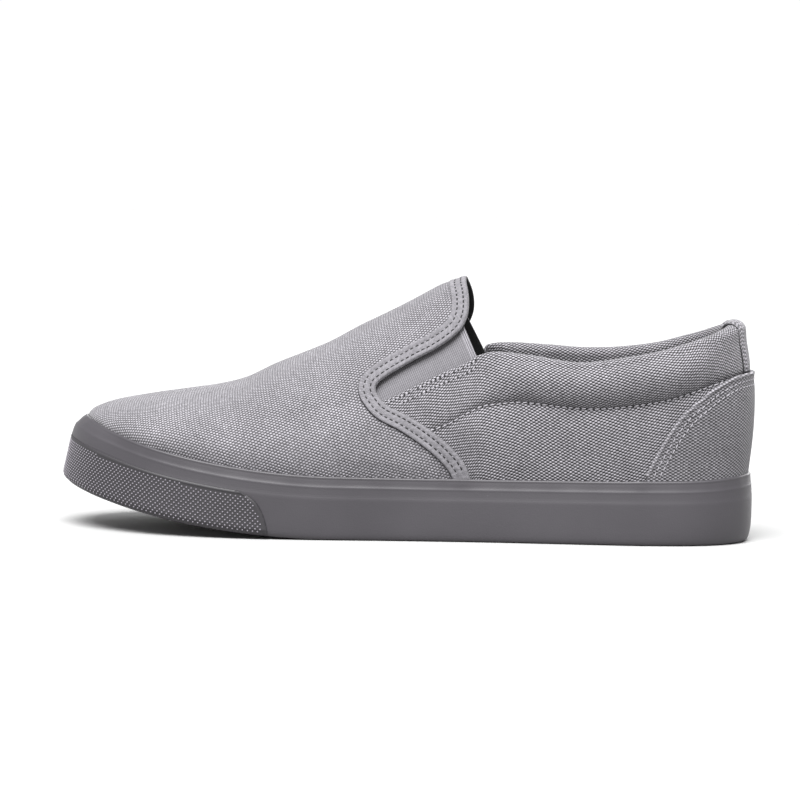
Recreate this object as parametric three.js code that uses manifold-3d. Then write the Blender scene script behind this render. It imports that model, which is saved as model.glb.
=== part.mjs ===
import * as THREE from "three";
import { mergeVertices } from "three/addons/utils/BufferGeometryUtils.js";
import Module from "manifold-3d";

const wasm = await Module();
wasm.setup();

// Driving sizes, in millimetres
const SOLE_LENGTH = 289;
const BALL_WIDTH = 105;
const FOXING_HEIGHT = 26.5;
const FOXING_THICKNESS = 2.7;
const FOXING_LIFT = 0.4;
const TOE_SPRING = 18.5;
const INSTEP_HEIGHT = 107;
const HEEL_HEIGHT = 92;
const CANVAS_WALL = 2;
const COLLAR_PADDING = 4.5;
const HEEL_SWELL = 2;
const OUTSOLE_THICKNESS = 9;
const INSOLE_THICKNESS = 8.7;
const INSOLE_BEVEL = 1;
const TREAD_DEPTH = 1.2;
const TREAD_WIDTH = 3;
const TREAD_PITCH = 14;
const TREAD_BORDER = 8;
const BUMPER_THICKNESS = 1.1;
const TAPE_WIDTH = 6.5;
const TAPE_THICKNESS = 0.8;
const COUNTER_THICKNESS = 1;
const TAB_WIDTH = 24;
const TAB_THICKNESS = 0.8;
const GORE_THICKNESS = 1;
const GORE_TUCK = 6;
const GAP = 0.3;

// Steps of the faceted surfaces
const TURNS = 60;
const RISES = 11;
const CURVE_STEPS = 3;
const ROLL_SIDES = 10;
const ROLL_STEPS = 36;
const TOPLINE_STEP = 0.02;
const TURN_STEP = 0.05;
const MERGE_DISTANCE = 1e-4;

// How far the cutting solids reach to each side, and past what they cut
const CUT_REACH = 0.76 * BALL_WIDTH;
const CUT_MARGIN = 5;

// Search for the collar roll's middle: the highest rise in degrees, the halvings and the step of turn
const ROLL_RISE_LIMIT = 60;
const ROLL_HALVINGS = 30;
const ROLL_TURN_STEP = 0.5;

// The shoe lies along X with its toe at -X, its outer side at -Y and the floor at Z = 0.
// A turn of 0 is the heel's back, 90 the outer side, 180 the toe and 270 the inner side.
// Rows lie every 15 degrees from heel to toe. Breadths are shares of the ball width, foxing
// heights and swells are shares of their sizes, and a round of 2 makes an elliptic section.
const STATIONS = [
  { lateral: 0.0, medial: 0.0, lean: 0.0, foxing: 1.08, round: 3.6, swell: 1.0 },
  { lateral: 0.167, medial: 0.167, lean: 0.0, foxing: 1.055, round: 3.3, swell: 1.0 },
  { lateral: 0.29, medial: 0.285, lean: 0.02, foxing: 1.01, round: 2.9, swell: 0.75 },
  { lateral: 0.347, medial: 0.335, lean: 0.03, foxing: 0.99, round: 2.6, swell: 0.75 },
  { lateral: 0.366, medial: 0.34, lean: 0.03, foxing: 0.975, round: 2.3, swell: 0.75 },
  { lateral: 0.381, medial: 0.318, lean: 0.03, foxing: 0.965, round: 2.1, swell: 0.75 },
  { lateral: 0.42, medial: 0.325, lean: 0.03, foxing: 0.965, round: 2.0, swell: 0.75 },
  { lateral: 0.476, medial: 0.398, lean: 0.03, foxing: 0.98, round: 2.0, swell: 0.75 },
  { lateral: 0.5, medial: 0.463, lean: 0.05, foxing: 1.005, round: 2.15, swell: 0.5 },
  { lateral: 0.455, medial: 0.462, lean: 0.09, foxing: 1.035, round: 2.25, swell: 0.25 },
  { lateral: 0.325, medial: 0.37, lean: 0.14, foxing: 1.08, round: 2.35, swell: 0.0 },
  { lateral: 0.15, medial: 0.205, lean: 0.18, foxing: 1.11, round: 2.4, swell: 0.0 },
  { lateral: -0.03, medial: 0.03, lean: 0.2, foxing: 1.11, round: 2.4, swell: 0.0 },
];

// Crown of the last: along and aside are shares of the sole's length and the ball width, and
// height is a share of the rise from foxing to instep.
const CROWN = [
  { along: -0.394, height: 0.344, aside: 0.03 },
  { along: -0.36, height: 0.365, aside: 0.035 },
  { along: -0.318, height: 0.388, aside: 0.04 },
  { along: -0.28, height: 0.409, aside: 0.05 },
  { along: -0.242, height: 0.447, aside: 0.05 },
  { along: -0.197, height: 0.526, aside: 0.05 },
  { along: -0.156, height: 0.588, aside: 0.045 },
  { along: -0.114, height: 0.657, aside: 0.04 },
  { along: -0.066, height: 0.752, aside: 0.03 },
  { along: -0.01, height: 0.855, aside: 0.02 },
  { along: 0.036, height: 0.947, aside: 0.01 },
  { along: 0.0605, height: 0.993, aside: 0.005 },
  { along: 0.081, height: 1.025, aside: 0.0 },
  { along: 0.208, height: 1.236, aside: 0.0 },
  { along: 0.294, height: 1.335, aside: 0.0 },
  { along: 0.346, height: 1.35, aside: 0.0 },
];

// Where the sole starts to rise, as a share of its length, and how its rise bends
const SPRING_START = -0.097;
const SPRING_BEND = 1.85;

// Share of the section's height that the swell takes up
const SWELL_TOP = 0.5;

// Free edge of the vamp from the foxing round the gore and up to the instep
const VAMP_EDGE = [
  { along: 0.099, height: -0.01 },
  { along: 0.09, height: 0.066 },
  { along: 0.07, height: 0.15 },
  { along: 0.0415, height: 0.232 },
  { along: 0.0076, height: 0.306 },
  { along: -0.021, height: 0.353 },
  { along: -0.035, height: 0.402 },
  { along: -0.0395, height: 0.435 },
  { along: -0.0365, height: 0.467 },
  { along: -0.018, height: 0.518 },
  { along: 0.018, height: 0.596 },
  { along: 0.041, height: 0.64 },
  { along: 0.0645, height: 0.699 },
  { along: 0.079, height: 0.752 },
  { along: 0.086, height: 0.81 },
  { along: 0.0875, height: 0.868 },
  { along: 0.085, height: 0.934 },
  { along: 0.079, height: 1.0 },
  { along: 0.073, height: 1.08 },
];
const GORE_FRONT_ROW = 5;
const GORE_TOP_ROW = 13;

// Top edge of the quarter under the gore, from the gore's front to the collar
const QUARTER_EDGE = [
  { along: -0.0256, height: 0.382 },
  { along: 0.02, height: 0.46 },
  { along: 0.055, height: 0.522 },
  { along: 0.0896, height: 0.578 },
  { along: 0.1045, height: 0.614 },
];

// Topline of the collar, with heights as shares of the rise from foxing to heel height
const COLLAR = [
  { along: 0.107, lateral: 0.76, medial: 0.785 },
  { along: 0.128, lateral: 0.782, medial: 0.8 },
  { along: 0.185, lateral: 0.757, medial: 0.79 },
  { along: 0.235, lateral: 0.727, medial: 0.774 },
  { along: 0.265, lateral: 0.727, medial: 0.773 },
  { along: 0.308, lateral: 0.766, medial: 0.785 },
  { along: 0.36, lateral: 0.825, medial: 0.82 },
  { along: 0.413, lateral: 0.9, medial: 0.888 },
  { along: 0.466, lateral: 0.97, medial: 0.965 },
  { along: 0.483, lateral: 0.985, medial: 0.985 },
];
const ROLL_START = 0.124;

// Lower edge of the collar's padding, with heights as in the collar's table
const PADDING_LINE = [
  { along: 0.11, height: 0.46 },
  { along: 0.139, height: 0.469 },
  { along: 0.17, height: 0.482 },
  { along: 0.229, height: 0.458 },
  { along: 0.286, height: 0.453 },
  { along: 0.373, height: 0.51 },
  { along: 0.458, height: 0.63 },
  { along: 0.5, height: 0.67 },
];
const PADDING_START = 0.155;
const PADDING_FADE = 0.03;
const PADDING_BLEND = 0.12;

// Front edge of the heel counter from the foxing up to the heel's back
const COUNTER_EDGE = [
  { along: 0.3465, height: 0.0 },
  { along: 0.363, height: 0.15 },
  { along: 0.3825, height: 0.305 },
  { along: 0.402, height: 0.421 },
  { along: 0.4245, height: 0.511 },
  { along: 0.4415, height: 0.574 },
  { along: 0.47, height: 0.643 },
  { along: 0.5, height: 0.669 },
];

// Section of the foxing from the floor to its rim: heights are shares of its height, and
// insets are shares of its thickness
const FOXING_SECTION = [
  { height: 0.0, inset: 0.5 },
  { height: 0.05, inset: 0.12 },
  { height: 0.2, inset: 0.0 },
  { height: 0.66, inset: 0.0 },
  { height: 0.69, inset: 0.24 },
  { height: 0.72, inset: 0.14 },
  { height: 0.82, inset: 0.16 },
  { height: 0.84, inset: 0.34 },
  { height: 0.96, inset: 0.38 },
  { height: 1.0, inset: 0.6 },
];

// Section of the toe bumper, with insets as shares of its own thickness
const BUMPER_SECTION = [
  { height: 0.035, inset: 0.3 },
  { height: 0.09, inset: -0.9 },
  { height: 0.2, inset: -1.0 },
  { height: 0.6, inset: -1.0 },
  { height: 0.655, inset: -0.7 },
];

// Side edge of the toe bumper, with heights as shares of the foxing's height
const BUMPER_END = [
  { along: -0.182, height: -0.1 },
  { along: -0.185, height: 0.15 },
  { along: -0.191, height: 0.35 },
  { along: -0.204, height: 0.55 },
  { along: -0.23, height: 0.68 },
  { along: -0.26, height: 0.9 },
];

// Tread zones along the sole, as shares of its length from heel to toe
const TREAD_ZONES = [
  { from: -0.4, to: -0.02 },
  { from: 0.17, to: 0.42 },
];

const UPPER_RISE = INSTEP_HEIGHT - FOXING_HEIGHT;
const COLLAR_RISE = HEEL_HEIGHT - FOXING_HEIGHT;
const CANVAS_INSET = FOXING_THICKNESS + GAP;
const ROLL_RADIUS = (CANVAS_WALL + COLLAR_PADDING) / 2;
const UPPER_FLOOR = OUTSOLE_THICKNESS + GAP;

const clamp = (value, low, high) => Math.min(Math.max(value, low), high);
const alongLength = (share) => share * SOLE_LENGTH;
const upperHeight = (share) => FOXING_HEIGHT + share * UPPER_RISE;
const collarHeight = (share) => FOXING_HEIGHT + share * COLLAR_RISE;

function smoothStep(value) {
  const t = clamp(value, 0, 1);
  return t * t * (3 - 2 * t);
}

// A smooth curve through a table's rows, read at one value of its key column
function readTable(rows, key, column, value) {
  const last = rows.length - 1;
  const at = clamp(value, rows[0][key], rows[last][key]);
  const slope = (i) => {
    const low = rows[Math.max(i - 1, 0)];
    const high = rows[Math.min(i + 1, last)];
    return (high[column] - low[column]) / (high[key] - low[key]);
  };
  let i = 0;
  while (i < last - 1 && rows[i + 1][key] < at) i += 1;
  const width = rows[i + 1][key] - rows[i][key];
  const t = (at - rows[i][key]) / width;
  const early = (2 * t - 3) * t * t + 1;
  const late = (3 - 2 * t) * t * t;
  const leaving = ((t - 2) * t + 1) * t * width;
  const arriving = (t - 1) * t * t * width;
  return early * rows[i][column] + late * rows[i + 1][column] + leaving * slope(i) + arriving * slope(i + 1);
}

// Values round the whole shoe, from the outer side's column and the inner side's
function roundShoe(outer, inner, sign) {
  const back = STATIONS.slice(1, -1).reverse().map((row) => row[inner]);
  return [...STATIONS.map((row) => sign * row[outer]), ...back];
}
const BREADTHS = roundShoe("lateral", "medial", -1);
const LEANS = roundShoe("lean", "lean", 1);
const FOXINGS = roundShoe("foxing", "foxing", 1);
const ROUNDS = roundShoe("round", "round", 1);
const SWELLS = roundShoe("swell", "swell", 1);

// A smooth closed curve through evenly spaced values, read at a turn in degrees
function readTurn(values, turn) {
  const count = values.length;
  const place = ((((turn / 360) % 1) + 1) % 1) * count;
  const i = Math.floor(place);
  const t = place - i;
  const [a, b, c, d] = [-1, 0, 1, 2].map((step) => values[(i + step + count) % count]);
  const bend = 2 * a - 5 * b + 4 * c - d;
  const twist = 3 * b - a - 3 * c + d;
  return 0.5 * (2 * b + (c - a) * t + bend * t * t + twist * t * t * t);
}

const foxingHeight = (turn) => FOXING_HEIGHT * readTurn(FOXINGS, turn);

function outline(turn) {
  const x = (SOLE_LENGTH / 2) * Math.cos(THREE.MathUtils.degToRad(turn));
  return new THREE.Vector2(x, BALL_WIDTH * readTurn(BREADTHS, turn));
}

function outward(turn) {
  const step = outline(turn + TURN_STEP).sub(outline(turn - TURN_STEP));
  return new THREE.Vector2(-step.y, step.x).normalize();
}

function springAt(x) {
  const start = alongLength(SPRING_START);
  const reach = clamp((start - x) / (start + SOLE_LENGTH / 2), 0, 2);
  return TOE_SPRING * reach ** SPRING_BEND;
}

// A point on the sole's side, set in from its outline, at a height above its underside
function soleSide(turn, inset, height) {
  const depth = inset + readTurn(LEANS, turn) * height;
  const place = outline(turn).addScaledVector(outward(turn), -depth);
  return new THREE.Vector3(place.x, place.y, springAt(place.x) + height);
}

// Height of the crown, carried on straight past its ends
function crownHeight(x) {
  const along = x / SOLE_LENGTH;
  const last = CROWN.length - 1;
  const slope = (i) => (CROWN[i + 1].height - CROWN[i].height) / (CROWN[i + 1].along - CROWN[i].along);
  const front = slope(0) * Math.min(along - CROWN[0].along, 0);
  const back = slope(last - 1) * Math.max(along - CROWN[last].along, 0);
  return upperHeight(readTable(CROWN, "along", "height", along) + front + back);
}

function crown(turn) {
  const cosine = Math.cos(THREE.MathUtils.degToRad(turn));
  const end = cosine > 0 ? CROWN[CROWN.length - 1].along : -CROWN[0].along;
  const aside = readTable(CROWN, "along", "aside", end * cosine) * BALL_WIDTH;
  return new THREE.Vector2(alongLength(end * cosine), aside);
}

// The upper's outer surface: a rise of 0 is the foxing's rim and 90 the crown
function surface(turn, rise) {
  const base = soleSide(turn, CANVAS_INSET, foxingHeight(turn));
  const top = crown(turn);
  const angle = THREE.MathUtils.degToRad(rise);
  const power = 2 / readTurn(ROUNDS, turn);
  const inward = 1 - Math.max(Math.cos(angle), 0) ** power;
  const up = Math.sin(angle) ** power;
  const swell = HEEL_SWELL * readTurn(SWELLS, turn) * Math.sin(Math.PI * clamp(up / SWELL_TOP, 0, 1));
  const side = outward(turn).multiplyScalar(swell);
  const x = base.x + (top.x - base.x) * inward;
  const y = base.y + (top.y - base.y) * inward;
  const z = base.z + (crownHeight(x) - base.z) * up;
  return new THREE.Vector3(x + side.x, y + side.y, z);
}

function solid(geometry) {
  geometry.deleteAttribute("normal");
  geometry.deleteAttribute("uv");
  const merged = mergeVertices(geometry, MERGE_DISTANCE);
  const vertProperties = new Float32Array(merged.attributes.position.array);
  const triVerts = new Uint32Array(merged.index.array);
  return new wasm.Manifold(new wasm.Mesh({ numProp: 3, vertProperties, triVerts }));
}

function geometryOf(points, faces) {
  const geometry = new THREE.BufferGeometry();
  geometry.setAttribute("position", new THREE.Float32BufferAttribute(points.flatMap((p) => p.toArray()), 3));
  geometry.setIndex(faces.flat());
  return geometry;
}

// Faces between rings that run round the shoe, with straight rungs across the ends that are closed
function ringFaces(rings, closeTop) {
  const at = (ring, turn) => ring * TURNS + ((turn + TURNS) % TURNS);
  const faces = [];
  for (let ring = 0; ring < rings - 1; ring += 1) {
    for (let turn = 0; turn < TURNS; turn += 1) {
      const next = turn + 1;
      faces.push([at(ring, turn), at(ring + 1, turn), at(ring + 1, next)]);
      faces.push([at(ring, turn), at(ring + 1, next), at(ring, next)]);
    }
  }
  for (let turn = 0; turn < TURNS / 2; turn += 1) {
    const [a, b, c, d] = [turn, turn + 1, -turn - 1, -turn];
    if (turn < TURNS / 2 - 1) faces.push([at(0, a), at(0, b), at(0, c)]);
    if (turn > 0) faces.push([at(0, a), at(0, c), at(0, d)]);
    if (closeTop && turn < TURNS / 2 - 1) faces.push([at(rings - 1, a), at(rings - 1, c), at(rings - 1, b)]);
    if (closeTop && turn > 0) faces.push([at(rings - 1, a), at(rings - 1, d), at(rings - 1, c)]);
  }
  return faces;
}

function turnList() {
  return Array.from({ length: TURNS }, (_, i) => (360 * i) / TURNS);
}

// A solid inside the sole's side, from rows of insets and heights in millimetres
function soleSolid(rows) {
  const points = rows.flatMap((row) => turnList().map((turn) => {
    const height = row.share === undefined ? row.height : row.share * foxingHeight(turn);
    return soleSide(turn, row.inset, height);
  }));
  return solid(geometryOf(points, ringFaces(rows.length, true)));
}

function riseList() {
  return Array.from({ length: RISES }, (_, i) => (90 * i) / (RISES - 1));
}

// Normals of the surface's points, shared by the two sides where they meet at the crown
function surfaceNormals(points) {
  const geometry = geometryOf(points, ringFaces(RISES, false));
  geometry.computeVertexNormals();
  const normals = points.map((_, i) => new THREE.Vector3().fromBufferAttribute(geometry.attributes.normal, i));
  const first = (RISES - 1) * TURNS;
  const one = normals.slice(first);
  for (let i = 0; i < TURNS; i += 1) {
    normals[first + i] = one[i].clone().add(one[(TURNS - i) % TURNS]).normalize();
  }
  return normals;
}

const SURFACE = riseList().flatMap((rise) => turnList().map((turn) => surface(turn, rise)));
const NORMALS = surfaceNormals(SURFACE);

// The whole last grown or shrunk by an offset, with its skirt carried down inside the foxing
function lastSolid(offsetAt, floor) {
  const skirt = turnList().map((turn, i) => soleSide(turn, CANVAS_INSET - offsetAt(SURFACE[i]), floor));
  const shell = SURFACE.map((p, i) => {
    if (i >= TURNS) return p.clone().addScaledVector(NORMALS[i], offsetAt(p));
    const turn = (360 * i) / TURNS;
    return soleSide(turn, CANVAS_INSET - offsetAt(p), foxingHeight(turn));
  });
  return solid(geometryOf([...skirt, ...shell], ringFaces(RISES + 1, false)));
}

// Extra thickness of the quarter where the collar is padded
function padding(p) {
  const along = p.x / SOLE_LENGTH;
  const share = (p.z - FOXING_HEIGHT) / COLLAR_RISE;
  const line = readTable(PADDING_LINE, "along", "height", along);
  const front = smoothStep((along - PADDING_START) / PADDING_FADE);
  return COLLAR_PADDING * front * smoothStep((share - line) / PADDING_BLEND);
}

function curveThrough(points) {
  const curve = new THREE.SplineCurve(points.map(([x, y]) => new THREE.Vector2(x, y)));
  return curve.getPoints((points.length - 1) * CURVE_STEPS).map((p) => [p.x, p.y]);
}

// A straight cut across the shoe, from its outline in the side view
function sideCut(points, fromY = -CUT_REACH, toY = CUT_REACH) {
  const shape = new THREE.Shape(points.map(([x, z]) => new THREE.Vector2(x, z)));
  const geometry = new THREE.ExtrudeGeometry(shape, { depth: toY - fromY, bevelEnabled: false });
  geometry.rotateX(Math.PI / 2);
  geometry.translate(0, toY, 0);
  return solid(geometry);
}

const upperPoint = (row) => [alongLength(row.along), upperHeight(row.height)];
const vampCurve = () => curveThrough(VAMP_EDGE.map(upperPoint));
const quarterCurve = () => curveThrough(QUARTER_EDGE.map(upperPoint));

function collarTop(side, along) {
  return collarHeight(readTable(COLLAR, "along", side, along));
}

// Everything above the topline and inside the two slots of the gores, on one side
function openingCut(side, fromY, toY) {
  const slot = curveThrough(VAMP_EDGE.slice(GORE_FRONT_ROW).map(upperPoint)).reverse();
  const topline = [];
  for (let along = COLLAR[0].along; along < COLLAR[COLLAR.length - 1].along; along += TOPLINE_STEP) {
    const drop = ROLL_RADIUS * smoothStep((along - COLLAR[0].along) / (ROLL_START - COLLAR[0].along));
    topline.push([alongLength(along), collarTop(side, along) - drop]);
  }
  const far = SOLE_LENGTH;
  const above = 2 * INSTEP_HEIGHT;
  const back = [[far, HEEL_HEIGHT - ROLL_RADIUS], [far, above], [slot[0][0], above]];
  return sideCut([...slot, ...quarterCurve(), ...topline, ...back], fromY, toY);
}

// Middle of the padded wall at the topline, on the side and at the turn given
function rollCentre(side, turn) {
  let low = 0;
  let high = ROLL_RISE_LIMIT;
  for (let i = 0; i < ROLL_HALVINGS; i += 1) {
    const middle = (low + high) / 2;
    const p = surface(turn, middle);
    const aim = collarTop(side, p.x / SOLE_LENGTH) - ROLL_RADIUS;
    if (p.z < aim) low = middle;
    else high = middle;
  }
  const p = surface(turn, low);
  const inward = outward(turn).multiplyScalar(-ROLL_RADIUS);
  return new THREE.Vector3(p.x + inward.x, p.y + inward.y, p.z);
}

function rollTurn(side) {
  const direction = side === "lateral" ? 1 : -1;
  let turn = 0;
  while (rollCentre(side, turn * direction).x > alongLength(ROLL_START)) turn += ROLL_TURN_STEP;
  return turn * direction;
}

function collarRoll() {
  const from = rollTurn("medial");
  const to = rollTurn("lateral");
  const path = [];
  for (let i = 0; i <= ROLL_STEPS; i += 1) {
    const turn = from + ((to - from) * i) / ROLL_STEPS;
    path.push(rollCentre(turn < 0 ? "medial" : "lateral", turn));
  }
  const section = new THREE.Shape();
  section.absarc(0, 0, ROLL_RADIUS, 0, 2 * Math.PI);
  return solid(new THREE.ExtrudeGeometry(section, {
    steps: ROLL_STEPS,
    curveSegments: ROLL_SIDES,
    extrudePath: new THREE.CatmullRomCurve3(path),
  }));
}

function makeUpper() {
  const outer = lastSolid(() => 0, UPPER_FLOOR);
  const inner = lastSolid((p) => -CANVAS_WALL - padding(p), UPPER_FLOOR - CUT_MARGIN);
  return outer
    .subtract(inner)
    .subtract(openingCut("lateral", -CUT_REACH, GAP))
    .subtract(openingCut("medial", 0, CUT_REACH))
    .add(collarRoll());
}

function layer(from, to) {
  return lastSolid(() => to, UPPER_FLOOR).subtract(lastSolid(() => from, UPPER_FLOOR - CUT_MARGIN));
}

// Points moved sideways from a curve in the side view, to its left as it runs
function shifted(points, distance) {
  return points.map(([x, z], i) => {
    const [x0, z0] = points[Math.max(i - 1, 0)];
    const [x1, z1] = points[Math.min(i + 1, points.length - 1)];
    const length = Math.hypot(x1 - x0, z1 - z0);
    return [x - ((z1 - z0) / length) * distance, z + ((x1 - x0) / length) * distance];
  });
}

function makeVampBinding() {
  const edge = vampCurve();
  const band = [...edge, ...shifted(edge, TAPE_WIDTH).reverse()];
  const rim = sideCut([
    [-SOLE_LENGTH, -CUT_MARGIN],
    [SOLE_LENGTH, -CUT_MARGIN],
    [SOLE_LENGTH, FOXING_HEIGHT + GAP],
    [-SOLE_LENGTH, FOXING_HEIGHT + GAP],
  ]);
  return layer(GAP, GAP + TAPE_THICKNESS).intersect(sideCut(band)).subtract(rim);
}

// The gore lies under the vamp and the quarter, and its top edge is free
function makeGore(fromY, toY) {
  const quarter = quarterCurve();
  const hem = shifted(quarter, -GORE_TUCK);
  const front = curveThrough(VAMP_EDGE.slice(GORE_FRONT_ROW, GORE_TOP_ROW + 1).map(upperPoint));
  const tucked = shifted(front, GORE_TUCK);
  const panel = [...hem.slice(0, -1), quarter[quarter.length - 1], front[front.length - 1], ...tucked.reverse()];
  return layer(-CANVAS_WALL - GAP - GORE_THICKNESS, -CANVAS_WALL - GAP).intersect(sideCut(panel, fromY, toY));
}

function makeHeelCounter() {
  const edge = curveThrough(COUNTER_EDGE.map((row) => [alongLength(row.along), collarHeight(row.height)]));
  const far = SOLE_LENGTH;
  const low = FOXING_HEIGHT / 2;
  const body = [...edge, [far, edge[edge.length - 1][1]], [far, low], [edge[0][0], low]];
  const foxed = soleSolid([
    { height: -CUT_MARGIN, inset: 0 },
    { share: 1 + GAP / FOXING_HEIGHT, inset: 0 },
  ]);
  return layer(GAP, GAP + COUNTER_THICKNESS).intersect(sideCut(body)).subtract(foxed);
}

function makeHeelTab() {
  const low = collarHeight(COUNTER_EDGE[COUNTER_EDGE.length - 1].height) + GAP;
  const high = HEEL_HEIGHT - ROLL_RADIUS;
  const strip = [
    [SOLE_LENGTH / 4, low],
    [SOLE_LENGTH, low],
    [SOLE_LENGTH, high],
    [SOLE_LENGTH / 4, high],
  ];
  const cut = sideCut(strip, -TAB_WIDTH / 2, TAB_WIDTH / 2);
  return layer(GAP, GAP + TAB_THICKNESS).intersect(cut);
}

function foxingOutside(grow) {
  return FOXING_SECTION.map((row) => ({ share: row.height, inset: row.inset * FOXING_THICKNESS - grow }));
}

function makeFoxing() {
  const rows = foxingOutside(0);
  rows[0] = { height: FOXING_LIFT, inset: rows[0].inset };
  const hollow = soleSolid([
    { height: -CUT_MARGIN, inset: FOXING_THICKNESS },
    { height: 2 * FOXING_HEIGHT, inset: FOXING_THICKNESS },
  ]);
  return soleSolid(rows).subtract(hollow);
}

function makeToeBumper() {
  const strip = BUMPER_SECTION.map((row) => ({
    share: row.height,
    inset: row.inset * BUMPER_THICKNESS - GAP,
  }));
  const inside = foxingOutside(GAP);
  inside[0] = { height: -CUT_MARGIN, inset: inside[0].inset };
  const end = curveThrough(BUMPER_END.map((row) => [
    alongLength(row.along),
    row.height * FOXING_HEIGHT + springAt(alongLength(row.along)),
  ]));
  const front = sideCut([...end, [-SOLE_LENGTH, 2 * FOXING_HEIGHT], [-SOLE_LENGTH, -FOXING_HEIGHT]]);
  return soleSolid(strip).subtract(soleSolid(inside)).intersect(front);
}

// Chevron grooves across the tread, as tall as the reach given
function treadGrooves() {
  const point = TREAD_PITCH / 2;
  let grooves = null;
  for (const zone of TREAD_ZONES) {
    for (let x = alongLength(zone.from); x <= alongLength(zone.to); x += TREAD_PITCH) {
      const shape = new THREE.Shape([
        new THREE.Vector2(x, -BALL_WIDTH),
        new THREE.Vector2(x + TREAD_WIDTH, -BALL_WIDTH),
        new THREE.Vector2(x + TREAD_WIDTH - point, 0),
        new THREE.Vector2(x + TREAD_WIDTH, BALL_WIDTH),
        new THREE.Vector2(x, BALL_WIDTH),
        new THREE.Vector2(x - point, 0),
      ]);
      const height = 4 * TOE_SPRING;
      const geometry = new THREE.ExtrudeGeometry(shape, { depth: height, bevelEnabled: false });
      geometry.translate(0, 0, -height / 2);
      grooves = grooves ? grooves.add(solid(geometry)) : solid(geometry);
    }
  }
  const depth = soleSolid([
    { height: -CUT_MARGIN, inset: CANVAS_INSET + TREAD_BORDER },
    { height: TREAD_DEPTH, inset: CANVAS_INSET + TREAD_BORDER },
  ]);
  return grooves.intersect(depth);
}

function makeOutsole() {
  const plate = soleSolid([
    { height: 0, inset: CANVAS_INSET + FOXING_LIFT },
    { height: FOXING_LIFT, inset: CANVAS_INSET },
    { height: OUTSOLE_THICKNESS, inset: CANVAS_INSET },
  ]);
  return plate.subtract(treadGrooves());
}

function makeInsole() {
  const inset = CANVAS_INSET + CANVAS_WALL + GAP;
  const top = UPPER_FLOOR + INSOLE_THICKNESS;
  return soleSolid([
    { height: UPPER_FLOOR, inset },
    { height: top - INSOLE_BEVEL, inset },
    { height: top, inset: inset + INSOLE_BEVEL },
  ]);
}

const canvas = () => new THREE.MeshStandardMaterial({ color: 0x96959a, roughness: 0.95, metalness: 0 });
const tape = () => new THREE.MeshStandardMaterial({ color: 0xa5a4a9, roughness: 0.85, metalness: 0 });
const elastic = () => new THREE.MeshStandardMaterial({ color: 0x9d9d9c, roughness: 0.8, metalness: 0 });
const rubber = () => new THREE.MeshStandardMaterial({ color: 0x6b686d, roughness: 0.6, metalness: 0 });
const bumperRubber = () => new THREE.MeshStandardMaterial({ color: 0x5d5a5f, roughness: 0.65, metalness: 0 });
const treadRubber = () => new THREE.MeshStandardMaterial({ color: 0x4c4a4e, roughness: 0.75, metalness: 0 });
const footbed = () => new THREE.MeshStandardMaterial({ color: 0x57565a, roughness: 0.95, metalness: 0 });

function meshOf(name, made, material) {
  const found = made.getMesh();
  const geometry = new THREE.BufferGeometry();
  geometry.setAttribute("position", new THREE.BufferAttribute(new Float32Array(found.vertProperties), 3));
  geometry.setIndex(new THREE.BufferAttribute(new Uint32Array(found.triVerts), 1));
  geometry.computeVertexNormals();
  const mesh = new THREE.Mesh(geometry, material);
  mesh.name = name;
  return mesh;
}

const shoe = new THREE.Group();
shoe.add(meshOf("outsole", makeOutsole(), treadRubber()));
shoe.add(meshOf("foxing", makeFoxing(), rubber()));
shoe.add(meshOf("toe_bumper", makeToeBumper(), bumperRubber()));
shoe.add(meshOf("insole", makeInsole(), footbed()));
shoe.add(meshOf("upper", makeUpper(), canvas()));
shoe.add(meshOf("gore_lateral", makeGore(-CUT_REACH, 0), elastic()));
shoe.add(meshOf("gore_medial", makeGore(0, CUT_REACH), elastic()));
shoe.add(meshOf("vamp_binding", makeVampBinding(), tape()));
shoe.add(meshOf("heel_counter", makeHeelCounter(), canvas()));
shoe.add(meshOf("heel_tab", makeHeelTab(), canvas()));

export default shoe;
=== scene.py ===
import math

import bpy
import numpy as np
from mathutils import Matrix, Vector


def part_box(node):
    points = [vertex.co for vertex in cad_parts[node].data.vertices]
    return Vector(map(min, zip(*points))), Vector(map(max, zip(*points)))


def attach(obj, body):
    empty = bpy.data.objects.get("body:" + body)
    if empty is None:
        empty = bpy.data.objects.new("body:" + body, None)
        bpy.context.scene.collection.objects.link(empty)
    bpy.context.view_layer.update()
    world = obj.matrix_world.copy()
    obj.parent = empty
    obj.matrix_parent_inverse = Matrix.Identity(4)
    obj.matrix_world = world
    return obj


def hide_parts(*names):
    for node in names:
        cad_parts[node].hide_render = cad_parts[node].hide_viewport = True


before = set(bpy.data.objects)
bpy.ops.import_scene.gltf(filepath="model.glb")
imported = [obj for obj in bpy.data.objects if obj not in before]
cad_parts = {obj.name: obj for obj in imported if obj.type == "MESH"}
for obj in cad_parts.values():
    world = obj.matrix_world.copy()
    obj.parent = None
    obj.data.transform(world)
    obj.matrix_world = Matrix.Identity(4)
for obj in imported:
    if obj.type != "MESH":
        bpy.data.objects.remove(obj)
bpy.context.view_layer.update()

# Sizes are in millimetres until a mesh is made
MM = 0.001

# Driving sizes of the shoe, the same as the frame's
SOLE_LENGTH = 289.0
BALL_WIDTH = 105.0
FOXING_HEIGHT = 26.5
TOE_SPRING = 18.5
INSTEP_HEIGHT = 107.0
HEEL_HEIGHT = 92.0
HEEL_SWELL = 2.0
BUMPER_THICKNESS = 1.1
CANVAS_INSET = 3.0
INSOLE_TOP = 18.0
UPPER_RISE = INSTEP_HEIGHT - FOXING_HEIGHT
COLLAR_RISE = HEEL_HEIGHT - FOXING_HEIGHT
SPRING_START = -0.097
SPRING_BEND = 1.85
SWELL_TOP = 0.5

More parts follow.
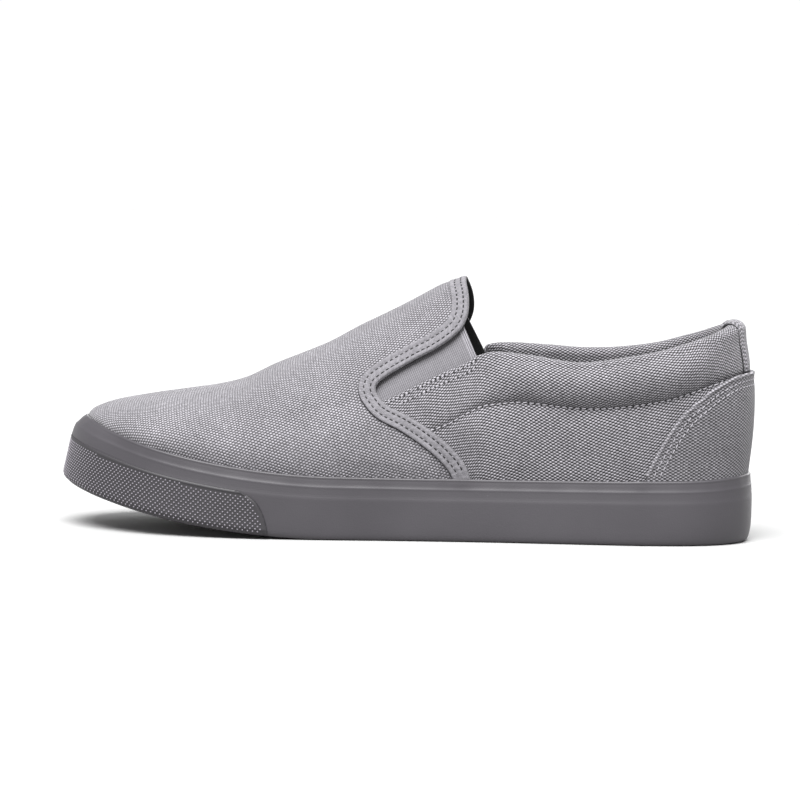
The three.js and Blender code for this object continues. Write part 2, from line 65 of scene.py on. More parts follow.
# Rows every 15 degrees from heel to toe: lateral, medial, lean, foxing, round, swell
STATIONS = np.array([
    (0.0, 0.0, 0.0, 1.08, 3.6, 1.0),
    (0.167, 0.167, 0.0, 1.055, 3.3, 1.0),
    (0.29, 0.285, 0.02, 1.01, 2.9, 0.75),
    (0.347, 0.335, 0.03, 0.99, 2.6, 0.75),
    (0.366, 0.34, 0.03, 0.975, 2.3, 0.75),
    (0.381, 0.318, 0.03, 0.965, 2.1, 0.75),
    (0.42, 0.325, 0.03, 0.965, 2.0, 0.75),
    (0.476, 0.398, 0.03, 0.98, 2.0, 0.75),
    (0.5, 0.463, 0.05, 1.005, 2.15, 0.5),
    (0.455, 0.462, 0.09, 1.035, 2.25, 0.25),
    (0.325, 0.37, 0.14, 1.08, 2.35, 0.0),
    (0.15, 0.205, 0.18, 1.11, 2.4, 0.0),
    (-0.03, 0.03, 0.2, 1.11, 2.4, 0.0),
])

# Crown of the last: share of length, height as a share of the upper's rise, share of the width
CROWN = np.array([
    (-0.394, 0.344, 0.03), (-0.36, 0.365, 0.035), (-0.318, 0.388, 0.04), (-0.28, 0.409, 0.05),
    (-0.242, 0.447, 0.05), (-0.197, 0.526, 0.05), (-0.156, 0.588, 0.045), (-0.114, 0.657, 0.04),
    (-0.066, 0.752, 0.03), (-0.01, 0.855, 0.02), (0.036, 0.947, 0.01), (0.0605, 0.993, 0.005),
    (0.081, 1.025, 0.0), (0.208, 1.236, 0.0), (0.294, 1.335, 0.0), (0.346, 1.35, 0.0),
])

# Side view curves as shares of length and of a rise: the vamp's edge and the gore's lower edge
# use the upper's rise, and the other curves the collar's rise
VAMP_EDGE = np.array([
    (0.099, -0.01), (0.09, 0.066), (0.07, 0.15), (0.0415, 0.232), (0.0076, 0.306), (-0.021, 0.353),
    (-0.035, 0.402), (-0.0395, 0.435), (-0.0365, 0.467), (-0.018, 0.518), (0.018, 0.596), (0.041, 0.64),
    (0.0645, 0.699), (0.079, 0.752), (0.086, 0.81), (0.0875, 0.868), (0.085, 0.934), (0.079, 1.0),
    (0.073, 1.08),
])
QUARTER_EDGE = np.array([
    (-0.06, 0.33), (-0.0256, 0.382), (0.02, 0.46), (0.055, 0.522), (0.0896, 0.578), (0.1045, 0.614),
])
# The collar's rows hold the outer side's height, a little lower than the solids', and the inner side's
COLLAR = np.array([
    (0.107, 0.76, 0.785), (0.128, 0.782, 0.8), (0.185, 0.757, 0.79), (0.235, 0.727, 0.774),
    (0.265, 0.727, 0.773), (0.308, 0.757, 0.785), (0.36, 0.8, 0.82), (0.413, 0.87, 0.888),
    (0.466, 0.95, 0.965), (0.483, 0.985, 0.985),
])
PADDING_LINE = np.array([
    (-0.06, 0.12), (0.0, 0.205), (0.0367, 0.285), (0.0647, 0.333), (0.093, 0.405), (0.113, 0.45),
    (0.139, 0.469), (0.17, 0.482), (0.229, 0.458), (0.286, 0.453), (0.373, 0.51), (0.458, 0.63),
    (0.5, 0.67),
])
COUNTER_EDGE = np.array([
    (0.3465, 0.0), (0.363, 0.15), (0.3825, 0.305), (0.402, 0.421), (0.4245, 0.511), (0.4415, 0.574),
    (0.47, 0.643), (0.5, 0.669),
])
BUMPER_END = np.array([
    (-0.182, -0.1), (-0.185, 0.15), (-0.191, 0.35), (-0.204, 0.55), (-0.23, 0.68), (-0.26, 0.9),
])

# The gore's free edge in the side view, from its top to the quarter
GORE_TOP = np.array((23.6, 88.3))
GORE_FOOT = np.array((29.7, 75.9))

# Thickness and offsets of the cloth layers, measured outward from the last
VAMP_CLOTH = 0.9
QUARTER_LAP = -1.0
QUARTER_OPEN = -0.2
LAP_REACH = 22.0
EDGE_REACH = 14.0
RIM_REACH = 6.0
TIP_SINK = 1.0
TIP_THINNING = 0.6
TIP_HALF = 9.0
GORE_OFFSET = -2.8
GORE_CLOTH = 0.6
GORE_LAP = 6
LINING_GAP = 0.05
LINING_CLOTH = 0.5
GORE_LINING = (-0.02, -0.3)
COUNTER_OFFSET = 1.2
COUNTER_CLOTH = 0.9
COUNTER_FLARE = 0.4
COUNTER_ROWS = (2.4, 4.6)
ROW_DIP = 0.22

# The padded collar. A run holds where along the shoe something sets in, and over what length
EDGE_RADIUS = 0.9
ROLL_RADIUS = 3.3
ROLL_RUN = (27.0, 17.0)
PAD_PUFF = 4.4
PAD_RUN = (20.0, 36.0)
PUFF_SKEW = 1.05
PAD_SEAM = 1.1
SEAM_RUN = (4.0, 20.0)
SEAM_ABOVE = 1.3
SEAM_BELOW = 3.4
PUCKER = 0.22
HEEL_RUN = (112.0, 26.0)
HEEL_DRAW = 0.8
STRIP_HALF = 9.0
STRIP_GROOVE = 1.1
LINING_WALL = 2.2

# How far the cloth runs down behind the foxing for each degree below its rim
SKIRT_STEP = 0.5

SIDES = (("lateral", False), ("medial", True))


def ease(value, start, reach):
    """Runs smoothly from 0 at a start to 1 at the end of its reach."""
    t = np.clip((value - start) / reach, 0.0, 1.0)
    return t * t * (3.0 - 2.0 * t)


def bell(value, width):
    return np.exp(-((value / width) ** 2))


def pair(a, b):
    return np.stack(np.broadcast_arrays(a, b), -1)


def run_length(points, axis=0):
    """Length along rows of points, from 0 at their start."""
    steps = np.linalg.norm(np.diff(points, axis=axis), axis=-1)
    return np.insert(np.cumsum(steps, axis), 0, 0.0, axis)


def read_table(keys, values, at):
    """A smooth curve through a table's values, read at places along its keys."""
    at = np.clip(at, keys[0], keys[-1])
    slopes = np.empty(len(keys))
    slopes[1:-1] = (values[2:] - values[:-2]) / (keys[2:] - keys[:-2])
    slopes[0] = (values[1] - values[0]) / (keys[1] - keys[0])
    slopes[-1] = (values[-1] - values[-2]) / (keys[-1] - keys[-2])
    i = np.clip(np.searchsorted(keys, at, side="right") - 1, 0, len(keys) - 2)
    width = keys[i + 1] - keys[i]
    t = (at - keys[i]) / width
    early = (2 * t - 3) * t * t + 1
    leaving = ((t - 2) * t + 1) * t * width * slopes[i]
    arriving = (t - 1) * t * t * width * slopes[i + 1]
    return early * values[i] + (1 - early) * values[i + 1] + leaving + arriving


def round_shoe(outer, inner, sign):
    """Values round the whole shoe, from the outer side's column and the inner side's."""
    return np.concatenate([sign * outer, inner[-2:0:-1]])


BREADTHS = round_shoe(STATIONS[:, 0], STATIONS[:, 1], -1)
LEANS, FOXINGS, ROUNDS, SWELLS = (round_shoe(column, column, 1) for column in STATIONS.T[2:])


def read_turn(values, turn):
    """A smooth closed curve through evenly spaced values, read at a turn in degrees."""
    place = (np.asarray(turn, float) / 360.0 % 1.0) * len(values)
    i = np.floor(place).astype(int)
    t = place - i
    a, b, c, d = (values[(i + step) % len(values)] for step in (-1, 0, 1, 2))
    bend = 2 * a - 5 * b + 4 * c - d
    twist = 3 * b - a - 3 * c + d
    return 0.5 * (2 * b + (c - a) * t + bend * t * t + twist * t**3)


def foxing_height(turn):
    return FOXING_HEIGHT * read_turn(FOXINGS, turn)


def outline(turn):
    x = SOLE_LENGTH / 2 * np.cos(np.radians(turn))
    return np.stack([x, BALL_WIDTH * read_turn(BREADTHS, turn)], -1)


def outward(turn):
    """Level direction away from the shoe, as a vector in space."""
    step = outline(turn + 0.05) - outline(turn - 0.05)
    level = np.stack([-step[..., 1], step[..., 0], np.zeros_like(step[..., 0])], -1)
    return level / np.linalg.norm(level, axis=-1, keepdims=True)


def spring_at(x):
    start = SPRING_START * SOLE_LENGTH
    return TOE_SPRING * np.clip((start - x) / (start + SOLE_LENGTH / 2), 0, 2) ** SPRING_BEND


def sole_side(turn, inset, height):
    """A point on the sole's side, set in from its outline, at a height above its underside."""
    turn, inset, height = np.broadcast_arrays(*(np.asarray(v, float) for v in (turn, inset, height)))
    depth = inset + read_turn(LEANS, turn) * height
    place = outline(turn) - outward(turn)[..., :2] * depth[..., None]
    return np.concatenate([place, (spring_at(place[..., 0]) + height)[..., None]], -1)


def crown_height(x):
    """Height of the crown, carried on straight past its ends."""
    along, height = CROWN[:, 0] * SOLE_LENGTH, CROWN[:, 1]
    front = (height[1] - height[0]) / (along[1] - along[0]) * np.minimum(x - along[0], 0)
    back = (height[-1] - height[-2]) / (along[-1] - along[-2]) * np.maximum(x - along[-1], 0)
    return FOXING_HEIGHT + UPPER_RISE * (read_table(along, height, x) + front + back)


def last_point(turn, rise):
    """The upper's outer form. A turn of 0 is the heel's back, 90 the outer side and 180 the toe.
    A rise of 0 is the foxing's rim, 90 the crown and 180 the rim of the other side."""
    turn, rise = np.broadcast_arrays(np.asarray(turn, float), np.asarray(rise, float))
    across = rise > 90
    turn = np.where(across, 360 - turn, turn)
    rise = np.where(across, 180 - rise, rise)
    base = sole_side(turn, CANVAS_INSET, foxing_height(turn))
    cosine = np.cos(np.radians(turn))
    crown_x = SOLE_LENGTH * cosine * np.where(cosine > 0, CROWN[-1, 0], -CROWN[0, 0])
    crown_y = BALL_WIDTH * read_table(CROWN[:, 0], CROWN[:, 2], crown_x / SOLE_LENGTH)
    power = read_turn(ROUNDS, turn)
    angle = np.radians(np.clip(rise, 0, 90))
    reach = (np.cos(angle) ** power + np.sin(angle) ** power) ** (1 / power)
    inward = 1 - np.cos(angle) / reach
    up = np.sin(angle) / reach
    swell = HEEL_SWELL * read_turn(SWELLS, turn) * np.sin(np.pi * np.clip(up / SWELL_TOP, 0, 1))
    x = base[..., 0] + (crown_x - base[..., 0]) * inward
    y = base[..., 1] + (crown_y - base[..., 1]) * inward
    z = base[..., 2] + (crown_height(x) - base[..., 2]) * up + SKIRT_STEP * np.minimum(rise, 0)
    return np.stack([x, y, z], -1) + outward(turn) * swell[..., None]


def unit(vectors):
    return vectors / np.maximum(np.linalg.norm(vectors, axis=-1, keepdims=True), 1e-9)


def last_slopes(turn, rise, step=0.2):
    """Change of the form with turn and with rise, for each degree."""
    with_turn = last_point(turn + step, rise) - last_point(turn - step, rise)
    with_rise = last_point(turn, rise + step) - last_point(turn, rise - step)
    return with_turn / (2 * step), with_rise / (2 * step)


def last_normal(turn, rise):
    rise = np.where(np.abs(rise - 90) < 0.3, 89.7, rise)
    with_turn, with_rise = last_slopes(turn, rise)
    return unit(np.cross(with_rise, with_turn))


def last_face(turn, rise):
    """Points of the form and the directions outward there."""
    return last_point(turn, rise), last_normal(turn, rise)


def nearest(targets, turn, rise):
    """Turn and rise of the form's points nearest to the targets, from a first guess."""
    for _ in range(6):
        miss = targets - last_point(turn, rise)
        a, b = last_slopes(turn, rise)
        aa, ab, bb = (a * a).sum(-1), (a * b).sum(-1), (b * b).sum(-1)
        am, bm = (a * miss).sum(-1), (b * miss).sum(-1)
        room = aa * bb - ab * ab + 1e-9
        turn = turn + np.clip((am * bb - bm * ab) / room, -3, 3)
        rise = rise + np.clip((bm * aa - am * ab) / room, -6, 6)
    return turn, rise


def bisect(test, low, high, rounds=26):
    """The place between low and high up to which the test holds, for each column."""
    for _ in range(rounds):
        middle = (low + high) / 2
        holds = test(middle)
        low = np.where(holds, middle, low)
        high = np.where(holds, high, middle)
    return (low + high) / 2


def vamp_edge_x(z):
    return SOLE_LENGTH * read_table(FOXING_HEIGHT + UPPER_RISE * VAMP_EDGE[:, 1], VAMP_EDGE[:, 0], z)


def quarter_edge_z(x):
    return FOXING_HEIGHT + UPPER_RISE * read_table(QUARTER_EDGE[:, 0], QUARTER_EDGE[:, 1], x / SOLE_LENGTH)


def collar_line(table, x, column=1):
    return FOXING_HEIGHT + COLLAR_RISE * read_table(table[:, 0], table[:, column], x / SOLE_LENGTH)


def top_height(x, medial):
    """Height of the quarter's upper edge: along the gore in front, and the collar's topline behind."""
    collar = np.where(medial, collar_line(COLLAR, x, 2), collar_line(COLLAR, x, 1))
    return np.where(x < COLLAR[0, 0] * SOLE_LENGTH, quarter_edge_z(x), collar)


def roll_radius(x):
    return EDGE_RADIUS + (ROLL_RADIUS - EDGE_RADIUS) * ease(x, *ROLL_RUN)


# Soft creases of the cloth in the side view: from x, z to x, z, with a width, a depth and a side,
# which is -1 for the outer side, 1 for the inner side and 0 for both
CREASES = [
    ((-64, 45), (-30, 62), 5.0, 0.35, 0),
    ((-48, 42), (-18, 56), 4.0, -0.3, -1),
    ((-28, 72), (-4, 60), 4.5, 0.35, 0),
    ((-40, 66), (-14, 50), 5.0, -0.3, -1),
    ((-82, 44), (-60, 56), 6.0, 0.3, 0),
    ((-8, 84), (8, 74), 4.0, 0.3, -1),
    ((10, 96), (2, 84), 5.0, -0.25, 0),
    ((-20, 34), (8, 30), 4.0, 0.3, -1),
    ((40, 50), (58, 30), 6.0, 0.35, -1),
    ((66, 52), (72, 34), 6.0, -0.4, 0),
    ((84, 52), (92, 32), 5.0, 0.4, -1),
    ((52, 66), (66, 62), 4.0, -0.3, -1),
    ((96, 74), (112, 70), 5.0, 0.35, -1),
    ((120, 84), (132, 76), 4.0, -0.3, 0),
    ((30, 62), (36, 70), 4.0, -0.3, -1),
    ((112, 58), (126, 40), 7.0, -0.35, 0),
]


CREASE_FADE = 12


def relief(points):
    """Height of the cloth's creases and of its unevenness at points on the form."""
    x, y, z = np.moveaxis(points, -1, 0)
    total = 0.07 * np.sin(x / 5.3 + 0.7 * np.sin(z / 7.1)) * np.sin(z / 6.1 + y / 9.7)
    total = total + 0.09 * np.sin(x / 11.7 + z / 8.3 + 1.1) * np.cos(y / 13.1 - x / 17.9)
    for (x0, z0), (x1, z1), width, depth, side in CREASES:
        run = np.array((x1 - x0, z1 - z0), float)
        length = np.hypot(*run)
        run /= length
        along = (x - x0) * run[0] + (z - z0) * run[1] + CREASE_FADE / 2
        aside = (z - z0) * run[0] - (x - x0) * run[1]
        ends = ease(along, 0, CREASE_FADE) * ease(length + CREASE_FADE - along, 0, CREASE_FADE)
        held = 1.0 if side == 0 else ease(0.5 + side * y / 12, 0, 1)
        total = total + depth * held * ends * bell(aside, width)
    return total


def tip_sink(points):
    """How far the tongue's tip is pressed down at the crown, next to its free edge."""
    beside_edge = vamp_edge_x(points[..., 2]) - points[..., 0]
    return TIP_SINK * bell(points[..., 1], TIP_HALF) * (1 - ease(beside_edge, 3, 9))


def vamp_offset(points):
    x, _, z = np.moveaxis(points, -1, 0)
    edge = ease(vamp_edge_x(z) - x, 0, EDGE_REACH)
    rim = ease(z - spring_at(x), FOXING_HEIGHT, RIM_REACH)
    return relief(points) * edge * rim - tip_sink(points)


def quarter_offset(points):
    """How far the quarter's outer face stands from the form."""
    x, y, z = np.moveaxis(points, -1, 0)
    lap = ease(x, vamp_edge_x(z), LAP_REACH)
    line = collar_line(PADDING_LINE, x)
    share = np.clip((z - line) / (top_height(x, y > 0) - line), 0, 1)
    heel = ease(x, *HEEL_RUN)
    padded = ease(x, *PAD_RUN) * (1 - heel)
    puff = PAD_PUFF * padded * np.sin(np.pi * share**PUFF_SKEW) ** 0.8 - HEEL_DRAW * heel * (z > line)
    near = np.where(z > line, (z - line) / SEAM_ABOVE, (line - z) / SEAM_BELOW)
    seam = -PAD_SEAM * np.exp(-near) * ease(x, *SEAM_RUN)
    puckers = PUCKER * np.sin(x / 1.7 + 1.3 * np.sin(x / 5.1)) * bell(z - line, 7.0)
    beside_strip = bell(np.abs(y) - STRIP_HALF - 0.7, 0.8) * heel * (z > line)
    lapped = QUARTER_LAP + (QUARTER_OPEN - QUARTER_LAP) * lap
    rim = ease(z, FOXING_HEIGHT, RIM_REACH)
    pressed = seam - STRIP_GROOVE * beside_strip
    return lapped + puff + pressed + puckers * lap + relief(points) * rim * lap


def counter_offset(points):
    """The counter is stiff, and its top edge stands away from the heel."""
    x, _, z = np.moveaxis(points, -1, 0)
    drop = collar_line(COUNTER_EDGE, x) - z
    flare = COUNTER_FLARE * ease(x, 118, 22) * np.exp(-np.maximum(drop, 0) / 6)
    dips = sum(ROW_DIP * bell(drop - row, 0.7) for row in COUNTER_ROWS)
    return COUNTER_OFFSET + flare - dips * ease(z, FOXING_HEIGHT, 3)


def edge_curve(spacing):
    """Turn and rise along the vamp's free edge, from the outer side's foxing over the instep."""
    rise = np.linspace(-5, 185, 1200)

    def behind(turn):
        p = last_point(turn, rise)
        return p[..., 0] > vamp_edge_x(p[..., 2])

    turn = bisect(behind, np.full(rise.shape, 40.0), np.full(rise.shape, 125.0))
    run = run_length(last_point(turn, rise))
    stops = np.linspace(0, run[-1], int(run[-1] / spacing) + 1)
    return np.interp(stops, run, turn), np.interp(stops, run, rise), stops


def beside(turn, rise, distance):
    """Places on the form beside a curve on it, on the side of the toe."""
    points, normal = last_face(turn, rise)
    aside = unit(np.cross(normal, unit(np.gradient(points, axis=0))))
    return nearest(points + aside * distance, turn, rise)


def on_side(x, z, medial=False):
    """Turn and rise of the form's points with the given side view."""
    turn = np.degrees(np.arccos(np.clip(x / (SOLE_LENGTH / 2 - CANVAS_INSET), -1, 1)))
    turn = -turn if medial else turn
    rise = np.full(turn.shape, 30.0)
    for _ in range(30):
        p = last_point(turn, rise)
        a, b = last_slopes(turn, rise)
        dx, dz = x - p[..., 0], z - p[..., 2]
        room = a[..., 0] * b[..., 2] - a[..., 2] * b[..., 0]
        room = np.where(np.abs(room) < 1e-4, 1e-4, room)
        turn = turn + np.clip((dx * b[..., 2] - dz * b[..., 0]) / room, -4, 4)
        rise = np.clip(rise + np.clip((dz * a[..., 0] - dx * a[..., 2]) / room, -4, 4), -6, 89)
    return turn, rise


def grid_faces(columns, rows, closed=False):
    """Four-sided faces of a grid that is stored column by column."""
    i = np.arange(columns if closed else columns - 1)[:, None]
    j = np.arange(rows - 1)[None, :]
    here, there = i * rows + j, (i + 1) % columns * rows + j
    return np.stack([here, here + 1, there + 1, there], -1).reshape(-1, 4)


def ring_faces(columns, rows, closed=False):
    """Faces of a grid whose columns each close on themselves."""
    first = np.arange(columns if closed else columns - 1) * rows
    after = (first + rows) % (columns * rows)
    closing = np.stack([first + rows - 1, first, after, after + rows - 1], 1)
    return np.concatenate([grid_faces(columns, rows, closed), closing])


def tube_faces(rows, columns):
    """Faces of rows that close on themselves, with both ends closed."""
    first = np.arange(rows)[None, :] * columns
    return [grid_faces(rows, columns, closed=True), first[:, ::-1], first + columns - 1]


def split(quads):
    return np.concatenate([quads[:, [0, 1, 2]], quads[:, [0, 2, 3]]])


def clip(values, faces, field):
    """Keeps the part of a triangle mesh where the field is positive, cut cleanly at its zero."""
    inside = field > 0
    count = inside[faces].sum(1)
    whole = faces[count == 3]
    one = faces[count == 1]
    one = np.take_along_axis(one, (np.argmax(inside[one], 1)[:, None] + np.arange(3)) % 3, 1)
    two = faces[count == 2]
    two = np.take_along_axis(two, (np.argmin(inside[two], 1)[:, None] + np.arange(3)) % 3, 1)
    pairs = np.concatenate([one[:, [0, 1]], one[:, [0, 2]], two[:, [0, 1]], two[:, [0, 2]]])
    edges, place = np.unique(np.sort(pairs, 1), axis=0, return_inverse=True)
    place = place.reshape(-1) + len(values)
    a, b = edges.T
    share = (field[a] / (field[a] - field[b]))[:, None]
    values = np.concatenate([values, values[a] + (values[b] - values[a]) * share])
    ab1, ac1, ab2, ac2 = np.split(place, np.cumsum([len(one), len(one), len(two)]))
    faces = np.concatenate([
        whole,
        np.stack([one[:, 0], ab1, ac1], 1),
        np.stack([ab2, two[:, 1], two[:, 2]], 1),
        np.stack([ab2, two[:, 2], ac2], 1),
    ])
    used, faces = np.unique(faces, return_inverse=True)
    return values[used], faces.reshape(-1, 3)


def drop_slivers(points, faces):
    corners = points[faces]
    area = np.linalg.norm(np.cross(corners[:, 1] - corners[:, 0], corners[:, 2] - corners[:, 0]), axis=1)
    return faces[area > 1e-7]


def border(faces):
    """Edges that only one face has, in that face's direction."""
    around = np.concatenate([faces[:, [i, (i + 1) % faces.shape[1]]] for i in range(faces.shape[1])])
    both = np.sort(around, 1)
    _, first, count = np.unique(both, axis=0, return_index=True, return_counts=True)
    return around[first[count == 1]]


def shell(outer, inner, faces, bulge):
    """A closed sheet between two faces of cloth, with rounded free edges."""
    edges = border(faces)
    size = len(outer)
    away = np.zeros_like(outer)
    across = outer - inner
    for end in (0, 1):
        side = np.cross(outer[edges[:, 1]] - outer[edges[:, 0]], across[edges[:, end]])
        np.add.at(away, edges[:, end], unit(side))
    rim = np.unique(edges)
    middle = (outer + inner) / 2 + unit(away) * np.linalg.norm(across, axis=1, keepdims=True) * bulge
    spot = np.full(size, -1)
    spot[rim] = 2 * size + np.arange(len(rim))
    a, b = edges.T
    walls = np.concatenate([
        np.stack([b, a, spot[a], spot[b]], 1),
        np.stack([spot[b], spot[a], a + size, b + size], 1),
    ])
    sheets = [faces, faces[:, ::-1] + size]
    return np.concatenate([outer, inner, middle[rim]]), [*sheets, walls]


def add_object(name, data):
    made = bpy.data.objects.new(name, data)
    bpy.context.scene.collection.objects.link(made)
    return made


def make_piece(name, points, faces, material, uv=None, replaces=()):
    """A mesh of the shoe, from points in millimetres and lists of faces."""
    lists = faces if isinstance(faces, list) else [faces]
    mesh = bpy.data.meshes.new(name)
    mesh.from_pydata((points * MM).tolist(), [], [face for part in lists for face in part.tolist()])
    mesh.shade_smooth()
    mesh.set_sharp_from_angle(angle=math.radians(62))
    if uv is not None:
        corners = np.empty(len(mesh.loops), int)
        mesh.loops.foreach_get("vertex_index", corners)
        layer = mesh.uv_layers.new(name="cloth")
        layer.data.foreach_set("uv", uv[corners].astype(np.float32).ravel())
    piece = add_object(name, mesh)
    mesh.materials.append(material)
    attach(piece, "root")
    if replaces:
        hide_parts(*replaces)
    return piece


# Share of a link's error that one move takes away
PULL = 0.11


def relax(points, flat, rounds):
    """Moves a flat grid until its links have the lengths that they have in space."""
    every, start, end = slice(None), slice(None, -1), slice(1, None)
    links = [
        ((start, every), (end, every)),
        ((every, start), (every, end)),
        ((start, start), (end, end)),
        ((end, start), (start, end)),
    ]
    lengths = [np.linalg.norm(points[a] - points[b], axis=-1) for a, b in links]
    for _ in range(rounds):
        move = np.zeros_like(flat)
        for (a, b), length in zip(links, lengths):
            gap = flat[b] - flat[a]
            span = np.maximum(np.linalg.norm(gap, axis=-1), 1e-6)
            push = gap * ((span - length) / span)[..., None]
            move[a] += push
            move[b] -= push
        flat = flat + PULL * move
        flat[-1] = (flat[-1] + flat[-1, ::-1]) / 2
    return flat


def refill(grid, places, count):
    """A grid with all of its rows again, from those at the given places."""
    at = np.arange(count)
    filled = [[np.interp(at, places, line) for line in column] for column in np.moveaxis(grid, 0, -1)]
    return np.moveaxis(np.array(filled), -1, 0)


# Steps between the rows that are laid flat, and how often they are moved then
FLATTEN_STEPS = ((12, 3000), (6, 1200), (3, 500), (1, 250))


def flatten(points, guess):
    """Lays a grid of cloth flat with the lengths that it has on the shoe, from coarse to fine."""
    flat = guess
    for step, rounds in FLATTEN_STEPS:
        places = [np.linspace(0, n - 1, max(n // step, 2) | 1) for n in guess.shape[:2]]
        rows, columns = (np.unique(place.round().astype(int)) for place in places)
        picked = np.ix_(rows, columns)
        small = relax(points[picked], flat[picked], rounds).transpose(1, 0, 2)
        wide = refill(small, columns, guess.shape[1]).transpose(1, 0, 2)
        flat = refill(wide, rows, guess.shape[0])
    return flat


# Materials


class Tree:
    """Shader nodes made with short calls. An input's name is i and its number, or its own."""

    def __init__(self, owner):
        self.nodes = owner.nodes
        self.links = owner.links

    def feed(self, value, socket):
        """Gives a socket another node's output, or a value of its own."""
        if isinstance(value, bpy.types.NodeSocket):
            self.links.new(value, socket)
        else:
            socket.default_value = value

    def node(self, kind, settings=None, **inputs):
        made = self.nodes.new("ShaderNode" + kind)
        for key, value in (settings or {}).items():
            setattr(made, key, value)
        for key, value in inputs.items():
            self.feed(value, made.inputs[int(key[1:]) if key[1:].isdigit() else key])
        return made

    def math(self, operation, a, b=0.0):
        return self.node("Math", {"operation": operation}, i0=a, i1=b).outputs[0]

    def vector(self, operation, a, **inputs):
        return self.node("VectorMath", {"operation": operation}, i0=a, **inputs).outputs[0]

    def ramp(self, value, low, high, to_low=0.0, to_high=1.0):
        kind = {"interpolation_type": "SMOOTHSTEP"}
        return self.node("MapRange", kind, i0=value, i1=low, i2=high, i3=to_low, i4=to_high).outputs[0]

    def mix(self, factor, a, b, blend="MIX"):
        kind = {"data_type": "RGBA", "blend_type": blend}
        return self.node("Mix", kind, i0=factor, i6=a, i7=b).outputs[2]

    def shade(self, colour, noise, low, high):
        """Darkens and lightens a colour where a noise is low and high."""
        return self.mix(1.0, colour, self.ramp(noise, 0.3, 0.7, low, high), "MULTIPLY")

    def noise(self, vector, scale, detail=2.0):
        return self.node("TexNoise", Vector=vector, Scale=scale, Detail=detail).outputs["Fac"]

    def wave(self, axis, pitch):
        return self.math("SINE", self.math("MULTIPLY", axis, 2 * math.pi / pitch))

    def place(self):
        return self.node("TexCoord").outputs["Object"]

    def layout(self):
        return self.node("UVMap", {"uv_map": "cloth"}).outputs[0]

    def finish(self, surface, colour, height, strength, depth):
        """Gives a surface its colour, and the fine relief of a height."""
        self.feed(colour, surface.inputs["Base Color"])
        bump = self.node("Bump", Height=height, Strength=strength, Distance=depth)
        self.feed(bump.outputs[0], surface.inputs["Normal"])


def grey(value, tint=(1.02, 0.985, 1.065)):
    return tuple(min(value * t, 1.0) for t in tint) + (1.0,)


def new_material(name, roughness, specular):
    material = bpy.data.materials.new(name)
    material.use_nodes = True
    tree = Tree(material.node_tree)
    surface = tree.nodes["Principled BSDF"]
    surface.inputs["Roughness"].default_value = roughness
    surface.inputs["Specular IOR Level"].default_value = specular
    return material, tree, surface


def weave_group():
    """Plain weave on a flat layout in millimetres: which yarn is on top, and the cloth's height."""
    group = bpy.data.node_groups.new("weave", "ShaderNodeTree")
    sockets = [("INPUT", "Layout", "Vector")]
    sockets += [("INPUT", name, "Float") for name in ("Warp", "Weft", "Wander")]
    sockets += [("OUTPUT", name, "Float") for name in ("Over", "Height", "Yarn", "Column")]
    for way, name, kind in sockets:
        group.interface.new_socket(name=name, in_out=way, socket_type="NodeSocket" + kind)
    tree = Tree(group)
    given = group.nodes.new("NodeGroupInput").outputs
    layout = given["Layout"]
    drift = tree.node("TexNoise", Vector=layout, Scale=0.35, Detail=3.0).outputs["Color"]
    bent = tree.vector("SCALE", tree.vector("SUBTRACT", drift, i1=(0.5, 0.5, 0.5)), Scale=given["Wander"])
    axes = tree.node("SeparateXYZ", i0=tree.vector("ADD", layout, i1=bent)).outputs
    waves = []
    for axis, pitch in ((0, "Warp"), (1, "Weft")):
        turns = tree.math("DIVIDE", axes[axis], given[pitch])
        waves.append(tree.math("SINE", tree.math("MULTIPLY", turns, math.pi)))
    over = tree.math("MULTIPLY", *waves)
    lift = tree.math("MULTIPLY", over, 0.8)
    column, row = (tree.math("ABSOLUTE", wave) for wave in waves)
    height = tree.math("MAXIMUM", tree.math("ADD", column, lift), tree.math("SUBTRACT", row, lift))
    yarn = tree.noise(tree.vector("MULTIPLY", layout, i1=(1.9, 0.16, 1.0)), 1.0, 1.0)
    out = group.nodes.new("NodeGroupOutput").inputs
    for name, value in (("Over", over), ("Height", height), ("Yarn", yarn), ("Column", column)):
        tree.feed(value, out[name])
    return group


WEAVE = weave_group()


def cloth_material(name, dark, light, pitch, bump, wander=0.35, angle=0.0, columns=0.0):
    """Woven cloth. Dark and light are its tones between the yarns and on top of them."""
    material, tree, surface = new_material(name, 0.92, 0.18)
    turned = tree.node("VectorRotate", {"rotation_type": "Z_AXIS"}, Vector=tree.layout(), Angle=angle)
    weave = tree.node("Group", {"node_tree": WEAVE}, Layout=turned.outputs[0], Warp=pitch[0],
                      Weft=pitch[1], Wander=wander).outputs
    place = tree.place()
    colour = tree.mix(tree.ramp(weave["Over"], -0.5, 0.75), grey(dark), grey(light))
    colour = tree.shade(colour, tree.noise(place, 45.0, 3.0), 0.93, 1.05)
    colour = tree.shade(colour, weave["Yarn"], 0.86, 1.1)
    colour = tree.shade(colour, tree.noise(place, 900.0), 0.86, 1.1)
    if columns:
        gaps = tree.ramp(weave["Column"], 0.0, 1.0, 1.0 - columns, 1.0 + 0.5 * columns)
        colour = tree.mix(1.0, colour, gaps, "MULTIPLY")
    tree.finish(surface, colour, weave["Height"], bump, 0.0002)
    surface.inputs["Sheen Weight"].default_value = 0.12
    surface.inputs["Sheen Roughness"].default_value = 0.5
    return material


